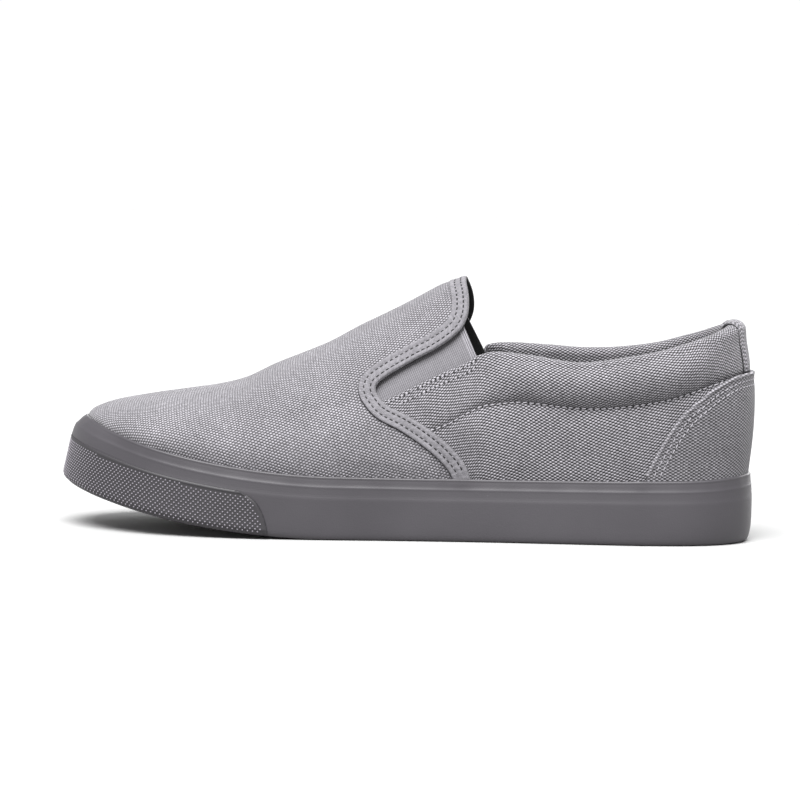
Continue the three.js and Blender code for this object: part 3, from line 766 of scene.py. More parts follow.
def elastic_material(name, tone, pitch=0.5):
    """Fine ribs that run with the gore's free edge."""
    material, tree, surface = new_material(name, 0.85, 0.25)
    axes = tree.node("SeparateXYZ", i0=tree.layout()).outputs
    picks = tree.math("MULTIPLY", tree.wave(axes[1], 1.3 * pitch), 0.4)
    height = tree.math("ADD", tree.wave(axes[0], pitch), picks)
    colour = tree.mix(tree.ramp(height, -1.2, 1.2), grey(tone * 0.7), grey(tone * 1.25))
    colour = tree.shade(colour, tree.noise(tree.place(), 700.0), 0.94, 1.04)
    tree.finish(surface, colour, height, 0.35, 0.0001)
    return material


RUBBER_TINT = (1.0, 0.93, 1.06)


def rubber_material(name, tone, roughness, specks=0.0):
    """Moulded rubber with a faint grain, scuffs and a few pale specks."""
    material, tree, surface = new_material(name, roughness, 0.38)
    place = tree.place()
    broad = tree.noise(place, 22.0, 4.0)
    scuffs = tree.noise(tree.vector("MULTIPLY", place, i1=(1.0, 1.0, 9.0)), 60.0, 5.0)
    dim, plain, worn = (grey(tone * share, RUBBER_TINT) for share in (0.95, 1.05, 1.2))
    colour = tree.mix(tree.ramp(broad, 0.3, 0.7), dim, plain)
    colour = tree.mix(tree.ramp(scuffs, 0.62, 0.8, 0.0, 0.35), colour, worn)
    if specks:
        cells = tree.node("TexVoronoi", Vector=place, Scale=120.0).outputs["Distance"]
        few = tree.ramp(tree.noise(place, 35.0), 0.62, 0.66)
        spot = tree.math("MULTIPLY", tree.ramp(cells, 0.02, 0.05, 1.0, 0.0), few)
        colour = tree.mix(tree.math("MULTIPLY", spot, specks), colour, grey(tone * 3.0))
    gloss = tree.ramp(broad, 0.3, 0.7, roughness - 0.06, roughness + 0.06)
    tree.feed(gloss, surface.inputs["Roughness"])
    height = tree.math("ADD", tree.noise(place, 1600.0), tree.math("MULTIPLY", broad, 2.0))
    tree.finish(surface, colour, height, 0.12, 0.0003)
    return material


def thread_material(name, tone):
    """Twisted sewing thread."""
    material, tree, surface = new_material(name, 0.7, 0.3)
    twist = tree.node("TexWave", Vector=tree.place(), Scale=700.0, Distortion=2.0).outputs["Fac"]
    colour = tree.mix(twist, grey(tone * 0.75), grey(tone * 1.15))
    tree.finish(surface, colour, twist, 0.4, 0.0001)
    return material


CANVAS_PITCH = (1.12, 0.655)
VAMP_CANVAS = cloth_material("vamp_canvas", 0.042, 0.232, CANVAS_PITCH, 0.5, columns=0.35)
QUARTER_CANVAS = cloth_material("quarter_canvas", 0.013, 0.275, CANVAS_PITCH, 0.8, angle=-0.157, columns=0.15)
COUNTER_CANVAS = cloth_material("counter_canvas", 0.025, 0.21, CANVAS_PITCH, 0.7)
# The hem is the counter's canvas painted lighter: painted light on its rolled edge
LIT_HEM_CANVAS = cloth_material("hem_canvas_painted_light", 0.067, 0.25, CANVAS_PITCH, 0.6)
STRIP_CANVAS = cloth_material("strip_canvas", 0.06, 0.3, (1.3, 0.8), 1.0)
TAPE_CLOTH = cloth_material("tape_cloth", 0.115, 0.18, (0.34, 0.34), 0.3, 0.2, 0.785)
BLACK_LINING = cloth_material("black_lining", 0.0045, 0.01, (0.5, 0.5), 0.5, 0.5)
INSOLE_CLOTH = cloth_material("insole_cloth", 0.025, 0.07, (0.55, 0.55), 0.6, 0.5)
ELASTIC = elastic_material("elastic", 0.115, 0.8)
SELVEDGE = elastic_material("selvedge", 0.21)
FOXING_RUBBER = rubber_material("foxing_rubber", 0.037, 0.47, 0.5)
BUMPER_RUBBER = rubber_material("bumper_rubber", 0.0215, 0.55)
# Much lighter than the bumper's rubber: painted highlight for the dots' glints
GLINT_DOT_RUBBER = rubber_material("dot_rubber_painted_glint", 0.14, 0.45)
TREAD_RUBBER = rubber_material("tread_rubber", 0.034, 0.65)
THREAD = thread_material("thread", 0.26)
TAPE_THREAD = thread_material("tape_thread", 0.19)
# A lighter copy of the thread for the padding seam, painted light where it lies under the pad
LIT_THREAD = thread_material("lit_thread", 0.27)
# Near black for the needle holes and for the heel strip's shadow cords: painted shade
HOLE_SHADE = rubber_material("painted_shade", 0.009, 0.9)
# Dark rubber for the cord under the tape's lower edge: painted shadow
TAPE_SHADOW = rubber_material("painted_tape_shadow", 0.032, 0.9)

# The vamp and its lining

VAMP_BACK = 52
VAMP_COLUMNS = 150
VAMP_ROWS = 171


def grid_sheet(turn, rise, layout):
    """Turn, rise and flat place of a grid's points, and its triangles."""
    values = np.concatenate([turn[..., None], rise[..., None], layout], -1).reshape(-1, 4)
    return values, split(grid_faces(*turn.shape))


def vamp_sheet():
    """The vamp as a grid with its flat layout, cut along its free edge."""
    turn = np.linspace(VAMP_BACK, 180, VAMP_COLUMNS)
    rise = np.concatenate([[-6, -3], np.linspace(0, 180, VAMP_ROWS), [183, 186]])
    turn, rise = np.meshgrid(turn, rise, indexing="ij")
    points = last_point(turn, rise)
    girth = run_length(points, 1)
    middle = rise.shape[1] // 2
    guess = pair(-points[..., 0], girth - girth[:, middle : middle + 1])
    x, _, z = points.reshape(-1, 3).T
    return clip(*grid_sheet(turn, rise, flatten(points, guess)), vamp_edge_x(z) - x)


def spread(uv, points):
    """The layout again for a sheet's second face and its rim."""
    extra = len(points) - 2 * len(uv)
    return np.concatenate([uv, uv, np.zeros((extra, 2))])


def make_layer(name, sheet, outer, inner, offset, material, slot, *replaces):
    """A sheet of cloth between two offsets from the form, which also follow its relief."""
    values, faces = sheet
    base, normal = last_face(values[:, 0], values[:, 1])
    middle = base + normal * offset(base)[:, None]
    faces = drop_slivers(base, faces)
    points, parts = shell(middle + normal * outer, middle + normal * inner, faces, 0.3)
    make_piece(name, points, parts, material, spread(values[:, 2:], points), replaces)


def make_vamp():
    sheet = vamp_sheet()
    make_layer("vamp", sheet, 0.0, -VAMP_CLOTH, vamp_offset, VAMP_CANVAS, "canvas", "upper")
    outer = -VAMP_CLOTH - LINING_GAP
    inner = -VAMP_CLOTH - LINING_CLOTH
    make_layer("vamp_lining", sheet, outer, inner, vamp_offset, BLACK_LINING, "lining")


CORD_SIDES = 8


def circle(sides):
    around = np.linspace(0, 2 * math.pi, sides, endpoint=False)
    return np.cos(around), np.sin(around)


def make_cord(name, line, normals, radius, material, slot):
    """A thin round cord along a line. Only cloth gets a layout."""
    ahead = unit(np.gradient(line, axis=0))
    side = unit(np.cross(normals, ahead))
    up = np.cross(ahead, side)
    cosine, sine = (part[:, None, None] for part in circle(CORD_SIDES))
    points = (line + radius * (cosine * side + sine * up)).reshape(-1, 3)
    uv = None if slot == "thread" else points[:, [0, 2]]
    make_piece(name, points, tube_faces(CORD_SIDES, len(line)), material, uv)


# Stitches: pitch, length, radius, slant, and length and radius of a needle hole

TAPE_STITCH = (2.4, 1.0, 0.17, 0.0, (1.8, 0.34))
GORE_STITCH = (2.0, 1.7, 0.27, 0.4, (1.1, 0.3))
PAD_STITCH = (2.7, 2.0, 0.25, 0.1, (0.8, 0.24))
COUNTER_STITCH = (2.6, 2.1, 0.22, 0.1, (0.6, 0.2))


def capsule(length, radius, rings=5):
    """A thread's stitch along X, sunk at both ends, as points and faces."""
    share = np.linspace(-1, 1, 2 * rings + 1)
    cosine, sine = circle(CORD_SIDES)
    thick = radius * np.sqrt(np.maximum(1 - share**4, 0.02))
    x = np.repeat(share * length / 2, CORD_SIDES)
    y = (thick[:, None] * cosine).ravel()
    z = (thick[:, None] * sine - 0.9 * radius * (share**4)[:, None]).ravel()
    return np.stack([x, y, z], 1), ring_faces(len(share), CORD_SIDES)[:, ::-1]


def resample(line, normals, pitch):
    """Even places along a line, with the ways ahead and outward there, and their true pitch."""
    run = run_length(line)
    count = max(int(run[-1] / pitch), 1)
    stops = (np.arange(count) + 0.5) * run[-1] / count

    def read(table, at):
        return np.stack([np.interp(at, run, column) for column in table.T], 1)

    ahead = unit(read(line, stops + 0.3) - read(line, stops - 0.3))
    return read(line, stops), ahead, unit(read(normals, stops)), run[-1] / count


def stamp(name, shape, faces, at, ahead, normal, material, slot):
    """Copies of a small shape at many places."""
    side = np.cross(normal, ahead)
    up = np.cross(ahead, side)
    points = (at[:, None] + shape[None, :, :1] * ahead[:, None] + shape[None, :, 1:2] * side[:, None]
              + shape[None, :, 2:] * up[:, None])
    copies = np.arange(len(at))[:, None, None] * len(shape) + faces[None]
    make_piece(name, points.reshape(-1, 3), copies.reshape(-1, faces.shape[1]), material)


def stitch_row(name, line, normals, kind, material=THREAD):
    """A row of stitches, with dark pits of painted shade for the needle holes between them."""
    pitch, length, radius, slant, hole = kind
    at, ahead, normal, spacing = resample(line, normals, pitch)
    slanted = unit(ahead + np.cross(normal, ahead) * slant)
    stamp(name, *capsule(length, radius), at, slanted, normal, material, "thread")
    # The needle holes are dark pits: painted shade
    pit, faces = capsule(*hole, 3)
    between = at + ahead * spacing / 2 - normal * 0.03
    name = name.replace("stitches", "holes")
    stamp(name, pit * (1.0, 1.0, 0.5), faces, between, ahead, normal, HOLE_SHADE, "thread")


# The tape round the vamp's free edge, as a section of distance from the edge and height
TAPE_SECTION = np.array([
    (5.85, -0.35), (5.9, 0.25), (6.3, 0.38), (6.65, 0.58), (6.8, 0.88), (6.6, 1.14), (6.0, 1.16), (5.4, 0.98),
    (5.0, 0.72), (4.6, 0.56), (4.2, 0.7), (3.6, 0.8), (2.9, 0.78), (2.3, 0.68), (1.9, 0.52), (1.5, 0.66),
    (1.0, 0.72), (0.5, 0.62), (0.14, 0.3), (0.0, -0.2), (0.05, -0.8), (0.3, -1.15), (0.9, -1.25), (1.1, -0.9),
    (3.0, -0.5),
])
TAPE_COLUMN = 0.7
TAPE_RIPPLE = 0.05
TAPE_ROWS = (1.9, 4.6)
ROW_HEIGHT = 0.62
# Where the dark cord under the tape's lower edge lies, how high it sits and how thick it is: painted shadow
TAPE_SHADOW_AT = 6.95
TAPE_SHADOW_HEIGHT = 0.04
TAPE_SHADOW_RADIUS = 0.19


def make_tape():
    turn, rise, run = edge_curve(TAPE_COLUMN)
    columns = []
    for distance, height in TAPE_SECTION:
        base, normal = last_face(*beside(turn, rise, distance))
        ripple = TAPE_RIPPLE * np.sin(run / 1.45 * math.pi) * (height > 0.4)
        thinned = 1 - TIP_THINNING * bell(base[:, 1], TIP_HALF) * (height > 0)
        columns.append(base + normal * (height * thinned + ripple - tip_sink(base))[:, None])
    points = np.stack(columns, 1)
    faces = ring_faces(*points.shape[:2])[:, ::-1]
    uv = pair(run[:, None], TAPE_SECTION[None, :, 0]).reshape(-1, 2)
    make_piece("vamp_tape", points.reshape(-1, 3), faces, TAPE_CLOTH, uv, ["vamp_binding"])
    for number, distance in enumerate(TAPE_ROWS):
        base, normal = last_face(*beside(turn, rise, distance))
        thinned = 1 - TIP_THINNING * bell(base[:, 1], TIP_HALF)
        line = base + normal * (ROW_HEIGHT * thinned - tip_sink(base))[:, None]
        stitch_row(f"tape_stitches_{number + 1}", line[8:-8], normal[8:-8], TAPE_STITCH, TAPE_THREAD)
    # A dark cord just past the tape's lower edge stands for the shadow there: painted shadow
    base, normal = last_face(*beside(turn, rise, TAPE_SHADOW_AT))
    line = base + normal * (TAPE_SHADOW_HEIGHT - tip_sink(base))[:, None]
    make_cord("tape_edge_shadow", line, normal, TAPE_SHADOW_RADIUS, TAPE_SHADOW, "thread")


# The quarters and the padded collar

QUARTER_TURN = 98
QUARTER_COLUMNS = 361
LOWER_ROWS = 30
PAD_ROWS = 30
ROLL_ROWS = 16
INNER_ROWS = 26


def quarter_columns():
    """Turn of each column, and the rise of the padding's seam and of the topline there."""
    turn = np.linspace(QUARTER_TURN, -QUARTER_TURN, QUARTER_COLUMNS)
    low = np.zeros(turn.shape)
    high = np.full(turn.shape, 75.0)

    def below_seam(rise):
        p = last_point(turn, rise)
        return p[..., 2] < collar_line(PADDING_LINE, p[..., 0])

    def below_roll(rise):
        p, n = last_face(turn, rise)
        top = top_height(p[..., 0], p[..., 1] > 0)
        return p[..., 2] + roll_radius(p[..., 0]) * (1 - n[..., 2]) < top

    return turn, bisect(below_seam, low, high), bisect(below_roll, low, high)


def quarter_sheets():
    """Rows of the quarter and collar: up the outside, over the roll and down the inside."""
    turn, seam, top = quarter_columns()
    skirt = np.array([-6.0, -3.0])[:, None] * np.ones_like(seam)
    lower = np.linspace(0, 1, LOWER_ROWS)[:, None] * seam
    upper = seam + (top - seam) * np.linspace(0, 1, PAD_ROWS)[1:, None]
    outside = []
    for rise in np.concatenate([skirt, lower, upper]):
        p, n = last_face(turn, rise)
        outside.append(p + n * quarter_offset(p)[:, None])
    base, normal = last_face(turn, top)
    radius = roll_radius(base[:, 0])[:, None]
    start = outside[-1]
    climb = unit(np.cross(unit(np.gradient(base, axis=0)), normal))
    centre = start - normal * radius
    roll = []
    for angle in np.linspace(0, math.pi, ROLL_ROWS)[1:]:
        roll.append(centre + radius * (normal * math.cos(angle) - climb * math.sin(angle)))
    inside = []
    floor_rise = -(FOXING_HEIGHT - INSOLE_TOP + 2) / SKIRT_STEP
    for s in np.linspace(0, 1, INNER_ROWS)[1:]:
        p, n = last_face(turn, top + (floor_rise - top) * s)
        room = ease(p[:, 2] - collar_line(PADDING_LINE, p[:, 0]), -9, 13)[:, None]
        wall = LINING_WALL + (2 * radius - LINING_WALL) * np.where(radius > LINING_WALL / 2, room, 1)
        inside.append(p - n * wall + (start - base) * (1 - ease(s * 5, 0, 1)))
    return np.stack(outside), np.stack(roll), np.stack(inside)


def row_layout(rows, anchor):
    """Flat layout of rows of points: length along the anchor row, and length across."""
    across = run_length(rows)
    return pair(run_length(rows[anchor]), across - across[anchor])


def make_quarter():
    outside, roll, inside = quarter_sheets()
    seam_row = LOWER_ROWS + 1
    everything = np.concatenate([outside, roll, inside])
    layout = row_layout(everything, seam_row)
    inner_seam = len(outside) + len(roll) + INNER_ROWS // 3
    pad = np.arange(seam_row, inner_seam + 1)
    low = np.concatenate([np.arange(inner_seam, len(everything)), np.arange(0, seam_row + 1)])
    for name, rows in (("quarter", low), ("collar_pad", pad)):
        points = everything[rows].reshape(-1, 3)
        faces = tube_faces(len(rows), everything.shape[1])
        uv = layout[rows].reshape(-1, 2)
        piece = make_piece(name, points, faces, QUARTER_CANVAS, uv, ["upper"])
    return everything, layout, seam_row


GORE_EDGE_ROWS = (1.3, 3.9)
PAD_ROW = -0.45


def quarter_line(x, z, medial, lift=0.1):
    base, normal = last_face(*on_side(x, z, medial))
    return base + normal * (quarter_offset(base) + lift)[:, None], normal


def make_quarter_stitches():
    for side, medial in SIDES:
        for number, drop in enumerate(GORE_EDGE_ROWS):
            x = np.linspace(-9 + 2 * drop, 29.5, 80)
            row = quarter_line(x, quarter_edge_z(x) - drop * 1.12, medial)
            stitch_row(f"gore_edge_stitches_{side}_{number + 1}", *row, GORE_STITCH)
        x = np.linspace(9, 132, 300)
        row = quarter_line(x, collar_line(PADDING_LINE, x) + PAD_ROW, medial, 0.4)
        # The padding seam's thread is painted lighter: painted light
        stitch_row(f"padding_stitches_{side}", *row, PAD_STITCH, LIT_THREAD)


# The gores

SELVEDGE_ROWS = (0.3, 1.2, 2.1)
SELVEDGE_RADIUS = 0.27
GORE_TURNS = (62, 108)
GORE_RISES = (5, 80)


def gore_offset(points):
    return np.full(len(points), GORE_OFFSET)


def gore_fields():
    """What is kept of a gore: up to its free edge, and a little past the vamp's and the quarter's."""
    yield lambda values, p: values[:, 2]
    yield lambda values, p: p[:, 0] - vamp_edge_x(p[:, 2]) + GORE_LAP
    yield lambda values, p: p[:, 2] - quarter_edge_z(p[:, 0]) + GORE_LAP


def make_gores():
    turn = np.linspace(*GORE_TURNS, 70)
    rise = np.linspace(*GORE_RISES, 90)
    drop = GORE_FOOT - GORE_TOP
    edge = drop / np.hypot(*drop)
    for side, flip in SIDES:
        t, r = np.meshgrid(turn, 180 - rise[::-1] if flip else rise, indexing="ij")
        x, _, z = np.moveaxis(last_point(t, r), -1, 0)
        back = (x - GORE_TOP[0]) * edge[1] - (z - GORE_TOP[1]) * edge[0]
        down = (x - GORE_TOP[0]) * edge[0] + (z - GORE_TOP[1]) * edge[1]
        values, faces = grid_sheet(t, r, pair(back, down))
        for field in gore_fields():
            values, faces = clip(values, faces, field(values, last_point(values[:, 0], values[:, 1])))
        sheet = values, faces
        name = f"gore_{side}"
        make_layer(f"{name}_cloth", sheet, 0.0, -GORE_CLOTH, gore_offset, ELASTIC, "elastic", name)
        outer, inner = (height - GORE_CLOTH for height in GORE_LINING)
        make_layer(f"{name}_lining", sheet, outer, inner, gore_offset, BLACK_LINING, "lining")
        for number, inset in enumerate(SELVEDGE_ROWS):
            share = np.linspace(-0.1, 1.2, 60)[:, None]
            line = GORE_TOP + drop * share - inset * np.array((-edge[1], edge[0]))
            base, normal = last_face(*on_side(*line.T, flip))
            line = base + normal * GORE_OFFSET
            make_cord(f"{name}_rib_{number + 1}", line, normal, SELVEDGE_RADIUS, SELVEDGE, "elastic")


# The heel counter and the strip above it

COUNTER_TURN = 52
HEM_RADIUS = 0.8
HEM_SINK = 0.75
STRIP_CLOTH = 0.9
STRIP_CROWN = 0.15
STRIP_WAVE = 0.06
# Radius of the dark cords along the strip's edges, which are painted shadow
STRIP_SHADOW_RADIUS = 0.32


def make_counter():
    turn = np.linspace(-COUNTER_TURN, COUNTER_TURN, 150)
    rise = np.concatenate([[-6, -3], np.linspace(0, 50, 70)])
    turn, rise = np.meshgrid(turn, rise, indexing="ij")
    base = last_point(turn, rise)
    around = np.cumsum(np.linalg.norm(np.gradient(base[:, 20], axis=0), axis=-1))
    values, faces = grid_sheet(turn, rise, pair(around[:, None], run_length(base, 1)))
    x, _, z = base.reshape(-1, 3).T
    start = COUNTER_EDGE[0, 0] * SOLE_LENGTH
    field = np.where(x < start, -1, collar_line(COUNTER_EDGE, x) - z)
    front = x - start + np.minimum(z - FOXING_HEIGHT, 0) * 0.1
    sheet = clip(values, faces[:, ::-1], np.minimum(field, front))
    inner = -COUNTER_CLOTH
    make_layer("counter", sheet, 0.0, inner, counter_offset, COUNTER_CANVAS, "canvas", "heel_counter")
    for number, inset in enumerate((0.0, *COUNTER_ROWS)):
        base, normal = counter_curve(inset)
        line = base + normal * (counter_offset(base) + 0.08)[:, None]
        if number:
            stitch_row(f"counter_stitches_{number}", line, normal, COUNTER_STITCH)
        else:
            line = line - normal * HEM_RADIUS * HEM_SINK
            # The hem's lighter canvas is painted light on its rolled edge
            make_cord("counter_hem", line, normal, HEM_RADIUS, LIT_HEM_CANVAS, "canvas")


def counter_curve(inset):
    """Points and normals of the form along the counter's edge, set in from it, round the heel."""
    edge = COUNTER_EDGE * (SOLE_LENGTH, COLLAR_RISE) + (0, FOXING_HEIGHT)
    along = np.linspace(0, len(edge) - 1, 200)
    x = np.interp(along, np.arange(len(edge)), edge[:, 0])
    z = collar_line(COUNTER_EDGE, x)
    dx, dz = np.gradient(x), np.gradient(z)
    length = np.hypot(dx, dz)
    x, z = x + dz / length * inset, z - dx / length * inset
    turn = np.linspace(COUNTER_TURN, -COUNTER_TURN, 500)

    def below(rise):
        p = last_point(turn, rise)
        return p[..., 2] < np.interp(p[..., 0], x, z)

    rise = bisect(below, np.zeros(turn.shape), np.full(turn.shape, 50.0))
    base, normal = last_face(turn, rise)
    keep = (base[:, 0] > x[0]) & (rise > 1)
    return base[keep], normal[keep]


def make_heel_strip(everything, layout, seam_row):
    """A folded strip up the heel's back, over the roll and a little way down inside."""
    top_row = seam_row + PAD_ROWS - 1
    rows = np.arange(seam_row + 2, top_row + ROLL_ROWS + 6)
    middle = everything.shape[1] // 2
    half = int(np.argmax(np.abs(everything[top_row, middle:, 1]) > STRIP_HALF))
    columns = np.arange(middle - half, middle + half + 1)
    picked = np.ix_(rows, columns)
    sheet = everything[picked]
    normal = unit(np.cross(np.gradient(sheet, axis=0), np.gradient(sheet, axis=1)))
    if normal[3, half, 0] < 0:
        normal = -normal
    rise = np.linspace(0, 1, len(rows))[:, None]
    side = np.abs(np.linspace(-1, 1, len(columns)))[None, :]
    crown = STRIP_CROWN * (1 - side**4)
    outer = sheet + normal * (STRIP_CLOTH + crown + STRIP_WAVE * np.sin(rise * 9))[..., None]
    inner = sheet + normal * 0.05
    faces = split(grid_faces(*sheet.shape[:2]))
    points, parts = shell(outer.reshape(-1, 3), inner.reshape(-1, 3), faces, 0.4)
    uv = spread(layout[picked].reshape(-1, 2), points)
    make_piece("heel_strip", points, parts, STRIP_CANVAS, uv, ["heel_tab"])
    # Dark cords along the strip's edges stand for the shadow in the grooves beside it: painted shadow
    for side, edge, step in (("lateral", 0, -1), ("medial", -1, 1)):
        line = everything[rows, columns[edge] + step] + normal[:, edge] * 0.12
        make_cord(f"heel_strip_edge_shadow_{side}", line, normal[:, edge], STRIP_SHADOW_RADIUS, HOLE_SHADE, "thread")


# The foxing: height as a share of its own, inset in millimetres
FOXING_PROFILE = np.array([
    (0.0, 1.6), (0.004, 1.15), (0.016, 0.72), (0.036, 0.4), (0.065, 0.18), (0.11, 0.06), (0.2, 0.0),
    (0.35, 0.0), (0.5, 0.02), (0.62, 0.05), (0.672, 0.06), (0.68, 0.13), (0.687, 0.13), (0.696, 0.17),
    (0.706, 0.2), (0.714, 0.22), (0.75, 0.27), (0.79, 0.34), (0.808, 0.35), (0.82, 0.32), (0.832, 0.35),
    (0.845, 0.48), (0.862, 0.63), (0.885, 0.74), (0.91, 0.82), (0.945, 0.92), (0.958, 0.95), (0.968, 0.86),
    (0.98, 0.84), (0.992, 0.98), (1.0, 1.3), (1.002, 1.7), (0.99, 2.7), (0.85, 2.7), (0.4, 2.7), (0.02, 2.7),
])
FOXING_TURNS = 900
TOE_FROM = 112.0
TOE_REACH = 28.0
TOE_GROW = 1.0
TOE_FILL = 1.3
RIM_LEAN = 0.12
TOE_LEAN = 0.9
HEEL_FROM = 95.0
HEEL_REACH = 45.0
HEEL_TUCK = 1.3
LUMPS = ((24.0, 5.0, 0.45), (17.0, 3.0, 0.25), (99.0, 3.5, 0.4), (-96.0, 9.0, 0.2), (61.0, 8.0, 0.15))


def make_foxing():
    turn = np.linspace(0, 360, FOXING_TURNS, endpoint=False)
    share, inset = FOXING_PROFILE.T
    face = inset < 2.5
    height = share * foxing_height(turn)[:, None]
    x = outline(turn)[:, 0]
    lump = sum(size * bell(x - at, width) for at, width, size in LUMPS)
    upper = ease(share, 0.8, 0.16) * face
    wave = 0.06 * np.sin(turn / 2.7) + 0.05 * np.sin(turn / 1.13 + 1)
    toe = ease(-x, TOE_FROM, TOE_REACH)[:, None]
    heel = ease(x, HEEL_FROM, HEEL_REACH)[:, None]
    fill = TOE_FILL * ease(share, 0.6, 0.07) * (1 - ease(share, 0.72, 0.28))
    grow = TOE_GROW * (1 - ease(share, 0.8, 0.2))
    tuck = HEEL_TUCK * np.clip(1 - share / 0.4, 0, 1) ** 2
    depth = inset - upper * (lump + wave)[:, None] - toe * (fill + grow) + heel * tuck * face
    depth = depth + (RIM_LEAN + TOE_LEAN * toe) * ease(share, 0.93, 0.07) * face
    rim = 0.3 * lump[:, None] * ease(share, 0.93, 0.06)
    points = sole_side(turn[:, None], depth, height + rim).reshape(-1, 3)
    faces = ring_faces(FOXING_TURNS, len(share), closed=True)
    make_piece("foxing_band", points, faces, FOXING_RUBBER, None, ["foxing"])


BUMPER_TURNS = (108, 252)
BUMPER_LOW = 0.035
BUMPER_HIGH = 0.655
DOT_PITCH = 1.47
DOT_RADIUS = 0.38
DOT_SIDES = 9
DOT_RINGS = np.array([(1.0, -0.05), (0.92, 0.12), (0.72, 0.24), (0.4, 0.32)])
DOT_TOP = (0.0, 0.0, 0.34)


def bumper_end_x(share):
    return SOLE_LENGTH * read_table(BUMPER_END[:, 1], BUMPER_END[:, 0], share)


def bumper_depth(turn, share):
    """How far the bumper's face is set in from the outline, with a bead along its top edge."""
    edge = ease(share, BUMPER_LOW, 0.07)
    bead = 0.25 * bell(share - 0.63, 0.018)
    toe = TOE_GROW * ease(-outline(turn)[..., 0], TOE_FROM, TOE_REACH)
    return -(BUMPER_THICKNESS * (0.35 + 0.65 * edge) + bead + toe)


def bumper_face(turn, share):
    return sole_side(turn, bumper_depth(turn, share), share * foxing_height(turn))


def make_bumper():
    spans = ((BUMPER_LOW, 0.12, 6), (0.15, 0.58, 12), (0.6, BUMPER_HIGH, 8))
    share = np.concatenate([np.linspace(*span) for span in spans])
    t, s = np.meshgrid(np.linspace(*BUMPER_TURNS, 420), share, indexing="ij")
    field = bumper_end_x(s) - bumper_face(t, s)[..., 0]
    values, faces = clip(pair(t, s).reshape(-1, 2), split(grid_faces(*t.shape)), field.ravel())
    t, s = values.T
    left = bumper_end_x(s) - bumper_face(t, s)[:, 0]
    bead = 0.22 * bell(left - 0.8, 0.5)
    depth = bumper_depth(t, s) * (0.6 + 0.4 * ease(left, 0, 1.2)) - bead
    outer, inner = (sole_side(t, inset, s * foxing_height(t)) for inset in (depth, 0.1))
    points, parts = shell(outer, inner, drop_slivers(outer, faces), 0.15)
    make_piece("bumper", points, parts, BUMPER_RUBBER, None, ["toe_bumper"])


def make_dots():
    """Raised dots in a diagonal grid on the bumper, in a lighter rubber that is a painted highlight for their
    glints.
    """
    fine = np.linspace(*BUMPER_TURNS, 2000)
    run = run_length(bumper_face(fine, 0.35))
    step = DOT_PITCH / math.sqrt(2)
    places = []
    for row in range(int(BUMPER_HIGH * 1.12 * FOXING_HEIGHT / step) + 1):
        along = np.arange(0, run[-1], 2 * step) + step * (row % 2)
        places.append(pair(np.interp(along, run, fine), (row + 1.6) * step))
    t, h = np.concatenate(places).T
    s = h / foxing_height(t)
    depth = bumper_depth(t, s)
    at = sole_side(t, depth, h)
    keep = (s > BUMPER_LOW + 0.02) & (s < 0.6) & (at[:, 0] < bumper_end_x(s) - 1.9)
    t, depth, h, at = t[keep], depth[keep], h[keep], at[keep]
    ahead = unit(sole_side(t + 0.1, depth, h) - sole_side(t - 0.1, depth, h))
    climb = unit(sole_side(t, depth, h + 0.1) - sole_side(t, depth, h - 0.1))
    rings = DOT_RINGS * (DOT_RADIUS, 1.0)
    ring = np.stack([*circle(DOT_SIDES), np.ones(DOT_SIDES)], 1)
    shape = np.concatenate([(ring * rings[:, None, [0, 0, 1]]).reshape(-1, 3), [DOT_TOP]])
    last = (len(rings) - 1) * DOT_SIDES + np.arange(DOT_SIDES)
    cap = np.stack([last, np.roll(last, -1), np.full(DOT_SIDES, len(shape) - 1)], 1)
    faces = np.concatenate([split(ring_faces(len(rings), DOT_SIDES))[:, ::-1], cap])
    normal = unit(np.cross(climb, ahead))
    stamp("bumper_dots", shape, faces, at, ahead, normal, GLINT_DOT_RUBBER, "bumper_rubber")


FOOTBED_DEPTH = 8.0
FOOTBED_GRID = (150, 50)


def make_insole():
    """The footbed, a little dished, with rungs across the shoe."""
    turn = np.linspace(0.5, 179.5, FOOTBED_GRID[0])
    inset = CANVAS_INSET + LINING_WALL + 0.3
    outer, inner = (sole_side(t, inset, INSOLE_TOP) for t in (turn, 360 - turn))
    share = np.linspace(0, 1, FOOTBED_GRID[1])[None, :, None]
    top = outer[:, None] * (1 - share) + inner[:, None] * share
    side = np.abs(2 * share[..., 0] - 1)
    top[..., 2] += 0.9 * side**6 - 0.25 + 0.12 * np.sin(top[..., 0] / 9) * np.cos(top[..., 1] / 7)
    top = top.reshape(-1, 3)
    low = top - (0.0, 0.0, FOOTBED_DEPTH)
    points, parts = shell(top, low, split(grid_faces(*FOOTBED_GRID)), 0.02)
    uv = spread(top[:, :2], points)
    make_piece("footbed", points, parts, INSOLE_CLOTH, uv, ["insole"])


make_vamp()
make_tape()
SHEETS = make_quarter()
make_quarter_stitches()
make_gores()
make_counter()
make_heel_strip(*SHEETS)
make_foxing()
make_bumper()
make_dots()
make_insole()

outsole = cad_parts["outsole"]
outsole.data.materials.clear()
outsole.data.materials.append(TREAD_RUBBER)

# Floor, light and camera, in metres

FLOOR_SIZE = 12.0
FLOOR_TONE = 0.32
FLOOR_GAP = 0.0002
SKY_BAND = (0.14, 0.45)
HORIZON_LIGHT = 1.02
ZENITH_LIGHT = 0.4
KEY_FROM = (-0.1, -0.8, 1.4)
KEY_SPREAD = 46.0
KEY_POWER = 10.2
FILL_FROM = (0.25, 1.0, 0.4)
FILL_SPREAD = 50.0
FILL_POWER = 3.0


def make_floor():
    mesh = bpy.data.meshes.new("floor")
    half = FLOOR_SIZE / 2
    corners = [(x * half, y * half, 0) for x, y in ((-1, -1), (1, -1), (1, 1), (-1, 1))]
    mesh.from_pydata(corners, [], [(0, 1, 2, 3)])
    floor = add_object("floor", mesh)
    floor.location.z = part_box("outsole")[0].z - FLOOR_GAP
    material, tree, surface = new_material("paper", 0.9, 0.1)
    surface.inputs["Base Color"].default_value = (FLOOR_TONE,) * 3 + (1.0,)
    mesh.materials.append(material)


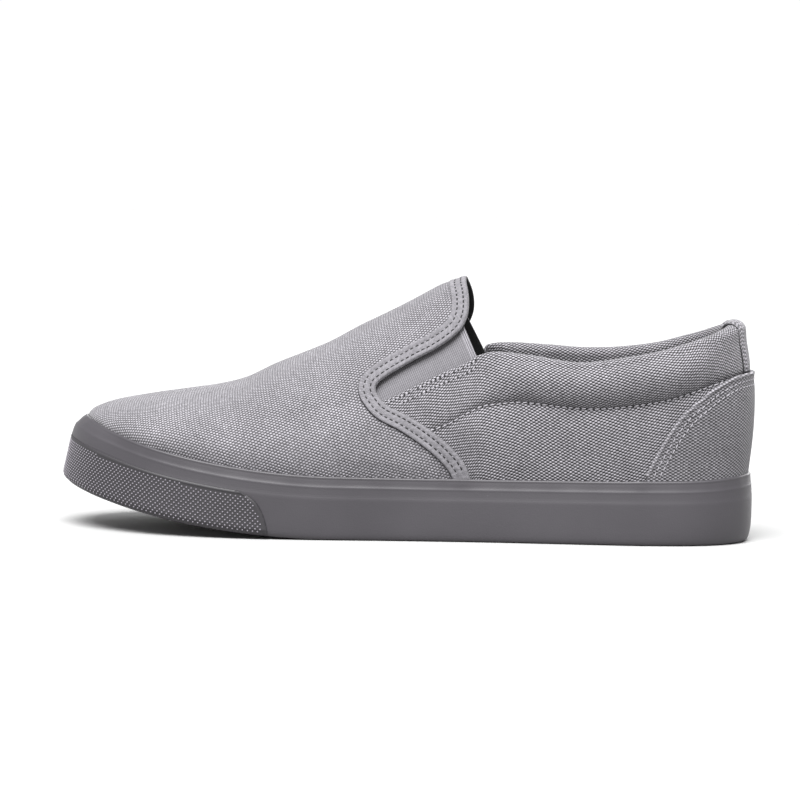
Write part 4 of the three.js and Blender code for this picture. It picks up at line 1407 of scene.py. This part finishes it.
def make_sun(name, place, power, spread):
    lamp = bpy.data.lights.new(name, "SUN")
    lamp.angle = math.radians(spread)
    lamp.energy = power
    light = add_object(name, lamp)
    light.location = place
    light.rotation_mode = "QUATERNION"
    light.rotation_quaternion = (-Vector(place)).to_track_quat("-Z", "Y")


def make_light():
    """A pale surround, brighter near the horizon, a broad key from above and a fill from behind."""
    world = bpy.data.worlds.new("studio")
    world.use_nodes = True
    tree = Tree(world.node_tree)
    direction = tree.node("TexCoord").outputs["Generated"]
    height = tree.node("SeparateXYZ", i0=direction).outputs[2]
    strength = tree.ramp(height, *SKY_BAND, HORIZON_LIGHT, ZENITH_LIGHT)
    background = tree.nodes["Background"]
    background.inputs["Color"].default_value = (1.0, 1.0, 1.0, 1.0)
    tree.feed(strength, background.inputs["Strength"])
    bpy.context.scene.world = world
    make_sun("key", KEY_FROM, KEY_POWER, KEY_SPREAD)
    make_sun("fill", FILL_FROM, FILL_POWER, FILL_SPREAD)
    bpy.context.scene.view_settings.view_transform = "Standard"


# The photograph's viewpoint
VIEW_AZIMUTH = math.radians(4.5)
VIEW_ELEVATION = math.radians(4.0)
VIEW_ROLL = math.radians(1.15)
VIEW_DISTANCE = 1.6
VIEW_TARGET = Vector((-0.0038, 0.0, 0.0548))
PIXELS_PER_METRE = 2380.0
PICTURE_WIDTH = 800
SENSOR = 36.0


def make_camera():
    a, e, r = VIEW_AZIMUTH, VIEW_ELEVATION, VIEW_ROLL
    back = Vector((math.sin(a) * math.cos(e), -math.cos(a) * math.cos(e), math.sin(e)))
    level = Vector((math.cos(a), math.sin(a), 0.0))
    up = back.cross(level)
    right = math.cos(r) * level + math.sin(r) * up
    top = math.cos(r) * up - math.sin(r) * level
    data = bpy.data.cameras.new("camera")
    data.sensor_width = SENSOR
    data.lens = PIXELS_PER_METRE * SENSOR * VIEW_DISTANCE / PICTURE_WIDTH
    camera = add_object("camera", data)
    camera.matrix_world = Matrix((right, top, back)).transposed().to_4x4()
    camera.location = VIEW_TARGET + back * VIEW_DISTANCE
    bpy.context.scene.camera = camera


make_floor()
make_light()
make_camera()
